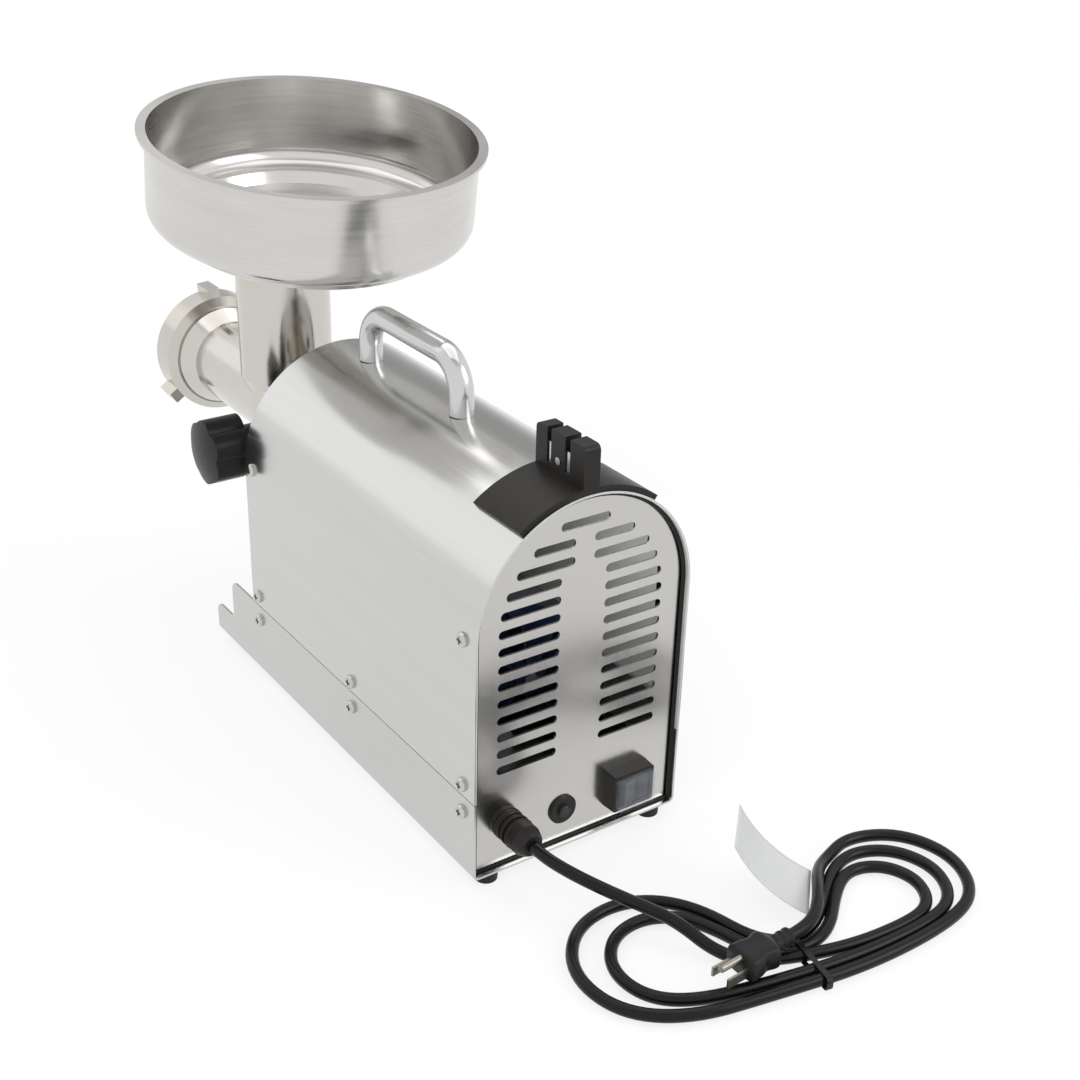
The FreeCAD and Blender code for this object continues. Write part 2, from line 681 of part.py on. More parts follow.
def switch():
    z = BASE_Z + SWITCH_HEIGHT
    x = SWITCH_X
    front = PANEL_Y + FRAME_PROUD
    hw, ht = FRAME_WIDTH / 2, FRAME_TALL / 2
    base = octagon(hw, ht, FRAME_CORNER, PANEL_Y, x, z)
    face = octagon(hw - FRAME_TAPER, ht - FRAME_TAPER, FRAME_CORNER - FRAME_TAPER / 2, front, x, z)
    frame = Part.makeLoft([base, face], True, True)
    bw, bt = SWITCH_BODY_WIDTH / 2, SWITCH_BODY_TALL / 2
    frame = frame.cut(box(x - bw - SEAT, x + bw + SEAT, PANEL_Y - 1, front + 1, z - bt - SEAT, z + bt + SEAT))
    keep("switch_frame", frame)
    body_front = front - GAP
    body = box(x - bw, x + bw, PANEL_Y - SWITCH_BODY_DEEP, body_front, z - bt, z + bt)
    iw, it = bw - SWITCH_WALL, bt - SWITCH_WALL
    body = body.cut(box(x - iw, x + iw, body_front - ROCKER_POCKET, body_front + 1, z - it, z + it))
    pivot = V(x, body_front - ROCKER_PIVOT_BACK, z)
    pin_reach = bt - SEAT
    body = body.cut(rod(ROCKER_PIN_R + FIT, pivot - Z_AXIS * bt, Z_AXIS, 2 * bt))
    keep("switch_body", body)
    h = ROCKER_HALF
    under = ROCKER_PIVOT_BACK
    outline = [V(x - h, pivot.y - under, 0), V(x + h, pivot.y - under, 0), V(x + h, pivot.y + ROCKER_CREST, 0),
               V(x, pivot.y + ROCKER_CREST - h * math.tan(math.radians(ROCKER_TILT)), 0),
               V(x - h, pivot.y + ROCKER_CREST, 0)]
    outline = [p + V(0, 0, z - it + GAP) for p in outline]
    rocker = prism(outline, [0] * 5, V(0, 0, 2 * (it - GAP)))
    rocker.rotate(pivot, Z_AXIS, ROCKER_TILT)
    rocker = rocker.fuse(rod(ROCKER_PIN_R, pivot - Z_AXIS * pin_reach, Z_AXIS, 2 * pin_reach)).removeSplitter()
    keep("switch_rocker", rocker)
    cap_w, cap_t = bw + CAP_WALL, bt + CAP_WALL
    cap = box(x - cap_w, x + cap_w, front, front + CAP_PROUD, z - cap_t, z + cap_t)
    rim = [e for e in cap.Edges if e.BoundBox.YLength > CAP_PROUD / 2 or e.BoundBox.YMin > front + 1]
    cap = cap.makeFillet(CAP_WALL * 2, rim)
    inner = box(x - bw, x + bw, front - 1, front + CAP_PROUD - CAP_WALL, z - bt, z + bt)
    keep("switch_cap", cap.cut(inner))


def breaker():
    z = BASE_Z + BREAKER_HEIGHT
    x = BREAKER_X
    collar_front = PANEL_Y + BREAKER_COLLAR_H
    collar = turned_y([(PANEL_Y, BREAKER_NECK_R + FIT), (PANEL_Y, BREAKER_COLLAR_R),
                       (collar_front - BREAKER_CHAMFER, BREAKER_COLLAR_R),
                       (collar_front, BREAKER_COLLAR_R - BREAKER_CHAMFER),
                       (collar_front, BREAKER_NECK_R + FIT)], z, x)
    keep("breaker_collar", collar)
    back = PANEL_Y - SHEET
    body = along_y(BREAKER_BODY_R, back - BREAKER_BODY_DEEP, back, x, z)
    body = body.fuse(along_y(BREAKER_NECK_R, back, collar_front, x, z)).removeSplitter()
    stem = back - BUTTON_STEM
    body = body.cut(along_y(BUTTON_R + FIT, stem - BUTTON_TRAVEL - 1, collar_front + 1, x, z))
    keep("breaker_body", body)
    tip = collar_front + BUTTON_PROUD
    keep("reset_button", turned_y([(stem, 0), (stem, BUTTON_R), (tip - 1, BUTTON_R), (tip, BUTTON_R - 1), (tip, 0)], z, x))


def gland():
    z = BASE_Z + GLAND_HEIGHT
    x = GLAND_X
    inside = PANEL_Y - SHEET - GLAND_THREAD_IN
    seat = PANEL_Y + GLAND_BODY_LENGTH
    neck = GLAND_BODY_R - GLAND_RIB
    step = GLAND_BODY_LENGTH / 5
    keep("gland_body", turned_y([
        (inside, CORD_R + SEAT), (inside, GLAND_THREAD_R), (PANEL_Y, GLAND_THREAD_R), (PANEL_Y, GLAND_BODY_R),
        (PANEL_Y + 2 * step, GLAND_BODY_R), (PANEL_Y + 2 * step, neck), (PANEL_Y + 3 * step, neck),
        (PANEL_Y + 3 * step, GLAND_BODY_R), (PANEL_Y + 4 * step, GLAND_BODY_R), (PANEL_Y + 4 * step, neck - GLAND_RIB),
        (seat, neck - GLAND_RIB), (seat, CORD_R + SEAT)], z, x))
    end = seat + GLAND_CAP_LENGTH
    keep("gland_cap", turned_y([
        (seat, 0), (seat, GLAND_CAP_R), (seat + GLAND_CAP_LENGTH * 0.55, GLAND_CAP_R),
        (seat + GLAND_CAP_LENGTH * 0.85, GLAND_CAP_R - 1.6), (end, GLAND_CAP_END_R), (end, 0)], z, x))


def involute(angle):
    return math.tan(angle) - angle


def spur_gear(teeth, module, y0, width, z, phase):
    """Involute spur gear about a line along Y; phase is the angle of one tooth from +X to +Z."""
    pitch = teeth * module / 2
    base = pitch * math.cos(PRESSURE_ANGLE)
    tip = pitch + ADDENDUM * module
    root = pitch - DEDENDUM * module
    at_pitch = math.pi / (2 * teeth) - BACKLASH / (2 * pitch)

    def half_angle(radius):
        if radius <= base:
            return at_pitch + involute(PRESSURE_ANGLE)
        return at_pitch + involute(PRESSURE_ANGLE) - involute(math.acos(base / radius))

    def at(radius, angle):
        return V(radius * math.cos(angle), y0, z + radius * math.sin(angle))

    start = max(base, root + 0.05 * module)
    edges = []
    for i in range(teeth):
        c = phase + i * 2 * math.pi / teeth
        rise = [root, start, (start + tip) / 2, tip]
        left = [at(r, c - half_angle(r)) for r in rise]
        right = [at(r, c + half_angle(r)) for r in rise]
        edges.append(Part.LineSegment(left[0], left[1]))
        edges.append(Part.Arc(left[1], left[2], left[3]))
        edges.append(Part.Arc(left[3], at(tip, c), right[3]))
        edges.append(Part.Arc(right[3], right[2], right[1]))
        edges.append(Part.LineSegment(right[1], right[0]))
        step = 2 * math.pi / teeth
        edges.append(Part.Arc(right[0], at(root, c + step / 2), at(root, c + step - half_angle(root))))
    wire = Part.Wire([e.toShape() for e in edges])
    return Part.Face(wire).extrude(V(0, width, 0))


def gear_train():
    """Motor pinion drives the layshaft gear; the layshaft pinion drives the output gear."""
    down = -math.pi / 2
    up = math.pi / 2
    output = spur_gear(OUTPUT_TEETH, OUTPUT_MODULE, STAGE_TWO_Y, STAGE_TWO_WIDTH, DRIVE_Z, down)
    keep("output_gear", output.cut(along_y(OUTPUT_SHAFT_R, STAGE_TWO_Y - 1, LID_Y, 0, DRIVE_Z)))
    lay_back = LID_Y + BEARING_WIDTH
    lay_front = CAVITY_Y - BEARING_WIDTH
    lay_phase = up + math.pi / LAY_PINION_TEETH
    pinion = spur_gear(LAY_PINION_TEETH, OUTPUT_MODULE, STAGE_TWO_Y - FIT, STAGE_TWO_WIDTH + 2 * FIT, LAY_Z, lay_phase)
    shaft = along_y(LAY_SHAFT_R, STAGE_TWO_Y + STAGE_TWO_WIDTH, lay_back, 0, LAY_Z)
    nose = along_y(LAY_SHAFT_R, lay_front, STAGE_TWO_Y, 0, LAY_Z)
    keep("layshaft", shaft.multiFuse([nose, pinion]).removeSplitter())
    wheel = spur_gear(LAY_GEAR_TEETH, LAY_MODULE, STAGE_ONE_Y, STAGE_ONE_WIDTH, LAY_Z, down)
    keep("layshaft_gear", wheel.cut(along_y(LAY_SHAFT_R, STAGE_ONE_Y - 1, LID_Y, 0, LAY_Z)))
    rotor_end = BELL_Y + END_BELL + FAN_SPACE + FAN_WIDTH + SHEET
    drive = spur_gear(PINION_TEETH, LAY_MODULE, STAGE_ONE_Y, STAGE_ONE_WIDTH, MOTOR_Z, up + math.pi / PINION_TEETH)
    keep("rotor_shaft", drive.fuse(along_y(ROTOR_SHAFT_R, STAGE_ONE_Y, rotor_end, 0, MOTOR_Z)).removeSplitter())


def gearbox():
    outer = arch_prism(GEARBOX_HALF, MOTOR_Z - GEARBOX_BELOW, DRIVE_Z, PLATE_IN, LID_Y)
    output_cavity = OUTPUT_MODULE * (OUTPUT_TEETH / 2 + ADDENDUM) + CAVITY_SPACE
    lay_cavity = LAY_MODULE * (LAY_GEAR_TEETH / 2 + ADDENDUM) + CAVITY_SPACE
    pinion_cavity = LAY_MODULE * (PINION_TEETH / 2 + ADDENDUM) + CAVITY_SPACE
    housing = outer.cut(along_y(output_cavity, CAVITY_Y, LID_Y + 1, 0, DRIVE_Z))
    housing = housing.cut(along_y(lay_cavity, CAVITY_Y, LID_Y + 1, 0, LAY_Z))
    housing = housing.cut(along_y(pinion_cavity, CAVITY_Y, LID_Y + 1, 0, MOTOR_Z))
    housing = housing.cut(along_y(OUTPUT_BEARING_R, CAVITY_Y - BEARING_WIDTH, CAVITY_Y + 1, 0, DRIVE_Z))
    housing = housing.cut(along_y(SEAL_R, PLATE_IN - 1, CAVITY_Y, 0, DRIVE_Z))
    housing = housing.cut(along_y(LAY_BEARING_R, CAVITY_Y - BEARING_WIDTH, CAVITY_Y + 1, 0, LAY_Z))
    lid = arch_prism(GEARBOX_HALF, MOTOR_Z - LID_BELOW, DRIVE_Z, LID_Y, MOTOR_Y)
    lid = lid.cut(along_y(OUTPUT_BEARING_R, LID_Y - 1, LID_Y + BEARING_WIDTH, 0, DRIVE_Z))
    lid = lid.cut(along_y(LAY_BEARING_R, LID_Y - 1, LID_Y + BEARING_WIDTH, 0, LAY_Z))
    lid = lid.cut(along_y(ROTOR_BEARING_R, MOTOR_Y - BEARING_WIDTH, MOTOR_Y + 1, 0, MOTOR_Z))
    lid = lid.cut(along_y(ROTOR_SHAFT_R + GAP, LID_Y - 1, MOTOR_Y, 0, MOTOR_Z))
    bolts = []
    for x in (-GEARBOX_BOLT_X, GEARBOX_BOLT_X):
        for rise in GEARBOX_BOLT_RISES:
            z = LAY_Z + rise
            hole = along_y(GEARBOX_BOLT_R + FIT, MOTOR_Y - GEARBOX_BOLT_LENGTH, MOTOR_Y + 1, x, z)
            sunk = MOTOR_Y - GEARBOX_BOLT_HEAD_H
            pocket = along_y(GEARBOX_BOLT_HEAD_R + GAP, sunk, MOTOR_Y + 1, x, z)
            lid = lid.cut(hole).cut(pocket)
            housing = housing.cut(hole)
            head = along_y(GEARBOX_BOLT_HEAD_R, sunk, MOTOR_Y, x, z)
            shank = along_y(GEARBOX_BOLT_R, MOTOR_Y - GEARBOX_BOLT_LENGTH, sunk, x, z)
            bolts.append(head.fuse(shank).removeSplitter())
    for x, z in collar_bolt_places():
        housing = housing.cut(along_y(COLLAR_BOLT_R + FIT, PLATE_IN - 1, CAVITY_Y - SHEET, x, z))
    keep("gearbox_housing", housing)
    keep("gearbox_lid", lid)
    keep("gearbox_bolts", bolts)
    keep("oil_seal", ring_y(SEAL_R, OUTPUT_SHAFT_R + FIT, PLATE_IN, PLATE_IN + SEAL_THICK, 0, DRIVE_Z))
    front = CAVITY_Y - BEARING_WIDTH
    rotor = ROTOR_SHAFT_R + FIT
    bearings = [ring_y(OUTPUT_BEARING_R, OUTPUT_SHAFT_R + FIT, y, y + BEARING_WIDTH, 0, DRIVE_Z) for y in (front, LID_Y)]
    bearings += [ring_y(LAY_BEARING_R, LAY_SHAFT_R + FIT, y, y + BEARING_WIDTH, 0, LAY_Z) for y in (front, LID_Y)]
    bearings += [ring_y(ROTOR_BEARING_R, rotor, y, y + BEARING_WIDTH, 0, MOTOR_Z) for y in (MOTOR_Y - BEARING_WIDTH, BELL_Y)]
    keep("ball_bearings", bearings)
    shaft = along_y(OUTPUT_SHAFT_R, FRONT - SPIGOT_START + GAP + 1.5, LID_Y + BEARING_WIDTH, 0, DRIVE_Z)
    side = TANG_SIDE / 2 + FIT
    socket = box(-side, side, FRONT - SPIGOT_START, FRONT - SOCKET_BACK, DRIVE_Z - side, DRIVE_Z + side)
    keep("output_shaft", shaft.cut(socket))


def motor():
    casing = ring_y(MOTOR_R, MOTOR_R - MOTOR_WALL, MOTOR_Y, BELL_Y, 0, MOTOR_Z)
    keep("motor_casing", casing)
    bell = along_y(MOTOR_R, BELL_Y, BELL_Y + END_BELL, 0, MOTOR_Z)
    bell = bell.cut(along_y(ROTOR_BEARING_R, BELL_Y - 1, BELL_Y + BEARING_WIDTH, 0, MOTOR_Z))
    keep("motor_end_bell", bell.cut(along_y(ROTOR_SHAFT_R + GAP, BELL_Y - 1, BELL_Y + END_BELL + 1, 0, MOTOR_Z)))
    stator_end = STATOR_Y + STATOR_LENGTH
    keep("stator_core", ring_y(MOTOR_R - MOTOR_WALL, STATOR_BORE, STATOR_Y, stator_end, 0, MOTOR_Z))
    inner, outer = STATOR_BORE + WINDING_WALL, MOTOR_R - MOTOR_WALL - WINDING_WALL
    ends = ((STATOR_Y - WINDING_LENGTH, STATOR_Y), (stator_end, stator_end + WINDING_LENGTH))
    keep("stator_windings", [ring_y(outer, inner, y0, y1, 0, MOTOR_Z) for y0, y1 in ends])
    keep("rotor_core", ring_y(STATOR_BORE - AIR_GAP, ROTOR_SHAFT_R, STATOR_Y, stator_end, 0, MOTOR_Z))
    fan_y = BELL_Y + END_BELL + FAN_SPACE
    fan = along_y(FAN_R, fan_y, fan_y + SHEET, 0, MOTOR_Z)
    fan = fan.fuse(along_y(FAN_HUB_R, fan_y, fan_y + FAN_WIDTH, 0, MOTOR_Z))
    blade = box(FAN_HUB_R - 1, FAN_R, fan_y, fan_y + FAN_WIDTH, MOTOR_Z - SHEET / 2, MOTOR_Z + SHEET / 2)
    for i in range(FAN_BLADES):
        turned = blade.copy()
        turned.rotate(V(0, 0, MOTOR_Z), Y_AXIS, i * 360.0 / FAN_BLADES)
        fan = fan.fuse(turned)
    keep("cooling_fan", fan.cut(along_y(ROTOR_SHAFT_R, fan_y - 1, fan_y + FAN_WIDTH + 1, 0, MOTOR_Z)).removeSplitter())
    mid = (MOTOR_Y + BELL_Y) / 2
    y0, y1 = mid - CRADLE_SPACING / 2, mid + CRADLE_SPACING / 2
    cradle = box(-CRADLE_HALF, CRADLE_HALF, y0 - CRADLE_THICK, y1 + CRADLE_THICK, FLOOR_Z, FLOOR_Z + CRADLE_THICK)
    for y in (y0 - CRADLE_THICK, y1):
        cradle = cradle.fuse(box(-CRADLE_HALF, CRADLE_HALF, y, y + CRADLE_THICK, FLOOR_Z, MOTOR_Z - MOTOR_R / 2))
    cradle = cradle.cut(along_y(MOTOR_R, MOTOR_Y, BELL_Y, 0, MOTOR_Z)).removeSplitter()
    keep("motor_cradle", cradle)
    cap_z = MOTOR_Z + MOTOR_R + STRAP_THICK + CAPACITOR_R
    keep("run_capacitor", along_y(CAPACITOR_R, mid - CAPACITOR_LENGTH / 2, mid + CAPACITOR_LENGTH / 2, 0, cap_z))
    s0, s1 = mid - STRAP_WIDTH / 2, mid + STRAP_WIDTH / 2
    strap = along_y(CAPACITOR_R + STRAP_THICK, s0, s1, 0, cap_z)
    strap = strap.fuse(box(-CAPACITOR_R, CAPACITOR_R, s0, s1, MOTOR_Z, cap_z))
    strap = strap.cut(along_y(MOTOR_R, s0 - 1, s1 + 1, 0, MOTOR_Z))
    keep("capacitor_strap", strap.cut(along_y(CAPACITOR_R, s0 - 1, s1 + 1, 0, cap_z)).removeSplitter())


def collar_bolt_places():
    places = []
    for i in range(COLLAR_BOLTS):
        a = math.radians(45 + i * 360.0 / COLLAR_BOLTS)
        places.append((COLLAR_BOLT_CIRCLE * math.cos(a), DRIVE_Z + COLLAR_BOLT_CIRCLE * math.sin(a)))
    return places


def head_collar():
    back = FRONT + PANEL_RECESS
    flange_front = back - COLLAR_FLANGE
    end = COLLAR_END
    seat = FRONT - SPIGOT_START + SEAT
    collar = along_y(COLLAR_FLANGE_R, flange_front, back, 0, DRIVE_Z)
    collar = collar.fuse(along_y(COLLAR_R, end, back, 0, DRIVE_Z))
    clamp_y = CLAMP_Y
    collar = collar.fuse(along_x(CLAMP_BOSS_R, BARREL_R, CLAMP_BOSS_END, clamp_y, DRIVE_Z))
    collar = collar.cut(along_y(BARREL_R + FIT, end - 1, seat, 0, DRIVE_Z))
    collar = collar.cut(along_y(DRIVE_HOLE_R, end, back + 1, 0, DRIVE_Z))
    collar = collar.cut(along_x(CLAMP_SCREW_R + FIT, 0, HALF, clamp_y, DRIVE_Z))
    bolts = []
    for x, z in collar_bolt_places():
        collar = collar.cut(along_y(COLLAR_BOLT_R + SEAT, end, back + 1, x, z))
        head = along_y(COLLAR_BOLT_R * 1.7, flange_front - COLLAR_BOLT_R, flange_front, x, z)
        shank = along_y(COLLAR_BOLT_R, flange_front, CAVITY_Y - GEARBOX_FRONT_WALL / 3, x, z)
        bolts.append(head.fuse(shank).removeSplitter())
    keep("head_collar", collar.removeSplitter())
    keep("collar_bolts", bolts)
    tip = BARREL_R + GAP
    screw_end = KNOB_START + KNOB_LENGTH / 2
    keep("clamp_screw", along_x(CLAMP_SCREW_R, tip, screw_end, clamp_y, DRIVE_Z))
    keep("clamp_knob", knob().cut(along_x(CLAMP_SCREW_R, 0, screw_end, clamp_y, DRIVE_Z)).removeSplitter())


def knob():
    """Lobed grip with a domed face, on a plain hub next to the boss."""
    end = KNOB_START + KNOB_LENGTH
    grip = along_x(KNOB_LOBE_CIRCLE, KNOB_START, end, CLAMP_Y, DRIVE_Z)
    for i in range(KNOB_LOBES):
        a = math.radians(KNOB_TURN) + i * 2 * math.pi / KNOB_LOBES
        y = CLAMP_Y + KNOB_LOBE_CIRCLE * math.cos(a)
        z = DRIVE_Z + KNOB_LOBE_CIRCLE * math.sin(a)
        grip = grip.fuse(along_x(KNOB_LOBE_R, KNOB_START, end, y, z))
    dome_r = (KNOB_REACH ** 2 + KNOB_DOME ** 2) / (2 * KNOB_DOME)
    grip = grip.common(Part.makeSphere(dome_r, V(end - dome_r, CLAMP_Y, DRIVE_Z)))
    return grip.fuse(along_x(KNOB_HUB_R, CLAMP_BOSS_END + 2 * GAP, KNOB_START + 1, CLAMP_Y, DRIVE_Z))


def head():
    y = FRONT
    outer = turned_y([(y - SPIGOT_START, 0), (y - SPIGOT_START, BARREL_R), (y - FLARE_START, BARREL_R),
                      (y - FLARE_END, THREAD_R), (y - HEAD_FACE, THREAD_R), (y - HEAD_FACE, 0)], DRIVE_Z)
    throat = V(0, y - THROAT_AT, DRIVE_Z)
    blend = BARREL_R * 0.7
    neck = Part.makeCone(BARREL_R * 0.75, THROAT_R, blend, throat)
    tube = rod(THROAT_R, throat + Z_AXIS * blend, Z_AXIS, THROAT_RISE - blend)
    body = outer.multiFuse([neck, tube])
    bore_start = y - SPIGOT_START - BACK_WALL
    body = body.cut(along_y(BARREL_BORE, y - HEAD_FACE - 1, bore_start, 0, DRIVE_Z))
    body = body.cut(along_y(JOURNAL_R + FIT, bore_start - 1, y + 1, 0, DRIVE_Z))
    body = body.cut(along_y(PLATE_R + FIT, y - HEAD_FACE - 1, y - PLATE_POCKET, 0, DRIVE_Z))
    body = body.cut(rod(THROAT_BORE, throat, Z_AXIS, THROAT_RISE + 1))
    keep("head_casting", body.removeSplitter())


def auger():
    y = FRONT
    end = y - AUGER_END
    core = along_y(AUGER_CORE_R, end, y - AUGER_START + 1, 0, DRIVE_Z)
    journal = along_y(JOURNAL_R, y - AUGER_START, y - SPIGOT_START, 0, DRIVE_Z)
    half = TANG_SIDE / 2
    tang = box(-half, half, y - SPIGOT_START - 1, y - TANG_BACK, DRIVE_Z - half, DRIVE_Z + half)
    stub = STUB_SIDE / 2
    shoulder = y - PLATE_AT + GAP
    square = box(-stub, stub, shoulder, end + 1, DRIVE_Z - stub, DRIVE_Z + stub)
    pin = along_y(PLATE_BORE - FIT, y - PLATE_AT - PLATE_THICK + GAP, shoulder + 1, 0, DRIVE_Z)
    height = AUGER_END - AUGER_START - 2 * FLIGHT_THICK
    helix = Part.makeHelix(AUGER_PITCH, height, AUGER_CORE_R)
    r0, r1, t = AUGER_CORE_R - 1, AUGER_FLIGHT_R, FLIGHT_THICK / 2
    section = Part.makePolygon([V(r0, 0, -t), V(r1, 0, -t * 0.6), V(r1, 0, t * 0.6), V(r0, 0, t), V(r0, 0, -t)])
    flight = Part.Wire(helix.Edges).makePipeShell([section], True, True)
    flight.rotate(V(0, 0, 0), X_AXIS, 90)
    flight.translate(V(0, y - AUGER_START - FLIGHT_THICK, DRIVE_Z))
    keep("auger", core.multiFuse([journal, tang, square, pin, flight]).removeSplitter())
    knife_back = y - KNIFE_AT
    knife = along_y(KNIFE_HUB_R, knife_back - KNIFE_THICK, knife_back, 0, DRIVE_Z)
    a = KNIFE_ARM / 2
    for half_x, half_z in ((KNIFE_REACH, a), (a, KNIFE_REACH)):
        knife = knife.fuse(box(-half_x, half_x, knife_back - KNIFE_THICK, knife_back, DRIVE_Z - half_z, DRIVE_Z + half_z))
    side = stub + FIT
    knife = knife.cut(box(-side, side, knife_back - KNIFE_THICK - 1, knife_back + 1, DRIVE_Z - side, DRIVE_Z + side))
    keep("grinder_knife", knife.removeSplitter())
    plate = along_y(PLATE_R, y - PLATE_AT - PLATE_THICK, y - PLATE_AT, 0, DRIVE_Z)
    holes = [along_y(PLATE_BORE, y - HEAD_FACE - 1, y - PLATE_POCKET, 0, DRIVE_Z)]
    for circle, count in zip(PLATE_RING_RADII, PLATE_RING_HOLES):
        for i in range(count):
            turn = 2 * math.pi * i / count
            x, z = circle * math.cos(turn), DRIVE_Z + circle * math.sin(turn)
            holes.append(along_y(PLATE_HOLE_R, y - HEAD_FACE - 1, y - PLATE_POCKET, x, z))
    keep("grinder_plate", plate.cut(Part.makeCompound(holes)))
    inner = THREAD_R + FIT
    nut = turned_y([(y - RING_BACK, inner), (y - RING_BACK, inner + 1.5), (y - RING_BACK - RING_CHAMFER, RING_R),
                    (y - HEAD_REACH + 2, RING_R), (y - HEAD_REACH, RING_R - 2), (y - HEAD_REACH, RING_MOUTH_R),
                    (y - RING_LIP, RING_MOUTH_R), (y - RING_LIP, inner)], DRIVE_Z)
    w = RING_LUG_WIDTH / 2
    lug = box(-w, w, y - HEAD_REACH + 4, y - RING_BACK - RING_CHAMFER, DRIVE_Z + RING_R - 3, DRIVE_Z + RING_LUG_REACH)
    for i in range(RING_LUGS):
        turned = lug.copy()
        turned.rotate(V(0, 0, DRIVE_Z), Y_AXIS, RING_LUG_TURN + i * 360.0 / RING_LUGS)
        nut = nut.fuse(turned)
    keep("ring_nut", nut.removeSplitter())


def hopper_pan():
    """Turned about Z at its own hole's centre, then tipped back onto the throat."""
    t = PAN_SHEET
    c = PAN_CORNER
    centre = PAN_HOLE_OFFSET
    rim = PAN_DEPTH

    def wall(inset, low):
        """Wall, ledge and floor line of one face of the sheet, from the rim inwards."""
        r = PAN_WALL_R - inset
        ledge = PAN_DEPTH - PAN_LEDGE_DEPTH + low
        k = (c - inset) * math.sqrt(0.5)
        bend = V(0, r - (c - inset), ledge + (c - inset))
        step = PAN_LEDGE_R - inset
        return [
            Part.LineSegment(V(0, r, rim - PAN_LIP), V(0, r, ledge + c - inset)),
            Part.Arc(V(0, r, ledge + c - inset), bend + V(0, k, -k), V(0, r - (c - inset), ledge)),
            Part.LineSegment(V(0, r - (c - inset), ledge), V(0, step, ledge)),
            Part.LineSegment(V(0, step, ledge), V(0, step - (PAN_DEPTH - PAN_LEDGE_DEPTH) / 2, low)),
            Part.LineSegment(V(0, step - (PAN_DEPTH - PAN_LEDGE_DEPTH) / 2, low), V(0, 0, low)),
        ]

    outside = wall(0, 0)
    inside = wall(t, t)
    lip = [V(0, PAN_WALL_R, rim - PAN_LIP), V(0, PAN_RIM_R, rim - PAN_LIP), V(0, PAN_RIM_R, rim),
           V(0, PAN_WALL_R - t, rim), V(0, PAN_WALL_R - t, rim - PAN_LIP)]
    edges = [e.toShape() for e in outside + inside]
    edges += [Part.LineSegment(a, b).toShape() for a, b in zip(lip, lip[1:])]
    edges.append(Part.LineSegment(V(0, 0, 0), V(0, 0, t)).toShape())
    pan = Part.Face(Part.Wire(Part.__sortEdges__(edges))).revolve(V(0, 0, 0), Z_AXIS, 360)
    pan.translate(V(0, centre, 0))
    neck = rod(PAN_NECK_R, V(0, 0, -PAN_NECK_LENGTH), Z_AXIS, PAN_NECK_LENGTH + t)
    pan = pan.fuse(neck).cut(rod(PAN_NECK_R - t, V(0, 0, -PAN_NECK_LENGTH - 1), Z_AXIS, PAN_DEPTH))
    tip = math.radians(PAN_TIP)
    pan.rotate(V(0, 0, 0), X_AXIS, -PAN_TIP)
    pan.translate(V(0, FRONT - THROAT_AT, THROAT_TOP + THROAT_R * math.tan(tip) + SEAT))
    keep("hopper_pan", pan.removeSplitter())


def unit(degrees):
    return V(math.cos(math.radians(degrees)), math.sin(math.radians(degrees)), 0)


WAIST = V(WAIST_X, REAR + WAIST_BACK, CORD_R + HANK_LIFT)
LEFT_WAY = unit(LEFT_TURN)
RIGHT_WAY = unit(RIGHT_TURN)
ALONG_WAIST = (RIGHT_WAY - LEFT_WAY).normalize()
TO_TOP = V(ALONG_WAIST.y, -ALONG_WAIST.x, 0) * (1 if ALONG_WAIST.x < 0 else -1) * -1


def biarc(p0, t0, p1, t1):
    """Two tangent arcs from one point and heading to another, in one level plane."""
    d = p1 - p0
    s = t0 + t1
    a = 2 * (1 - t0.dot(t1))
    b = d.dot(s)
    if abs(a) < 1e-9:
        reach = d.dot(d) / (2 * b)
    else:
        reach = (-b + math.sqrt(b * b + a * d.dot(d))) / a
    join = (p0 + t0 * reach + p1 - t1 * reach) * 0.5
    return [tangent_arc(p0, t0, join), tangent_arc(p1, t1 * -1, join, True)]


def tangent_arc(start, heading, end, backwards=False):
    """Arc that leaves a point along a heading and ends at another, or a line if straight."""
    chord = end - start
    side = V(-heading.y, heading.x, 0)
    across = chord.dot(side)
    if abs(across) < 1e-7 * chord.Length:
        ends = (end, start) if backwards else (start, end)
        return Part.LineSegment(*ends).toShape()
    radius = chord.dot(chord) / (2 * across)
    centre = start + side * radius
    half = (start - centre) + (end - centre)
    middle = centre + half.normalize() * abs(radius)
    if chord.dot(heading) < 0:
        middle = centre - half.normalize() * abs(radius)
    if backwards:
        return Part.Arc(end, middle, start).toShape()
    return Part.Arc(start, middle, end).toShape()


def spine(way, s):
    """Middle line of the hank out from its waist: place, heading and the upward normal there."""
    ahead = ALONG_WAIST if ALONG_WAIST.dot(way) > 0 else ALONG_WAIST * -1
    side = V(-ahead.y, ahead.x, 0)
    bend = math.atan2(way.dot(side), way.dot(ahead))
    turned = bend * min(s / WAIST_BEND, 1.0)
    radius = WAIST_BEND / bend
    place = WAIST + ahead * (radius * math.sin(turned)) + side * (radius * (1 - math.cos(turned)))
    heading = ahead * math.cos(turned) + side * math.sin(turned)
    place = place + heading * max(s - WAIST_BEND, 0.0)
    up = V(heading.y, -heading.x, 0)
    if up.dot(TO_TOP) < 0:
        up = up * -1
    return place, heading, up


def strand(way, length, half, offset, side):
    """Waist, opening and side of one strand of a lobe, outwards; side is +1 for the upper strand."""
    reach = length - half
    stations = []
    splay = math.atan(LOBE_SPLAY * (half - offset) / reach)
    opened = offset + LOBE_OPENED * (half - offset)
    for s, out, angle in ((0.0, offset, 0.0), (LOBE_OPENING, opened, splay), (reach, half, 0.0)):
        place, heading, up = spine(way, s)
        lean = heading * math.cos(angle) + up * (side * math.sin(angle))
        stations.append((place + up * (side * out), lean))
    return stations


def lobe_tip(way, length, side):
    place, heading, up = spine(way, length)
    return place, up * side


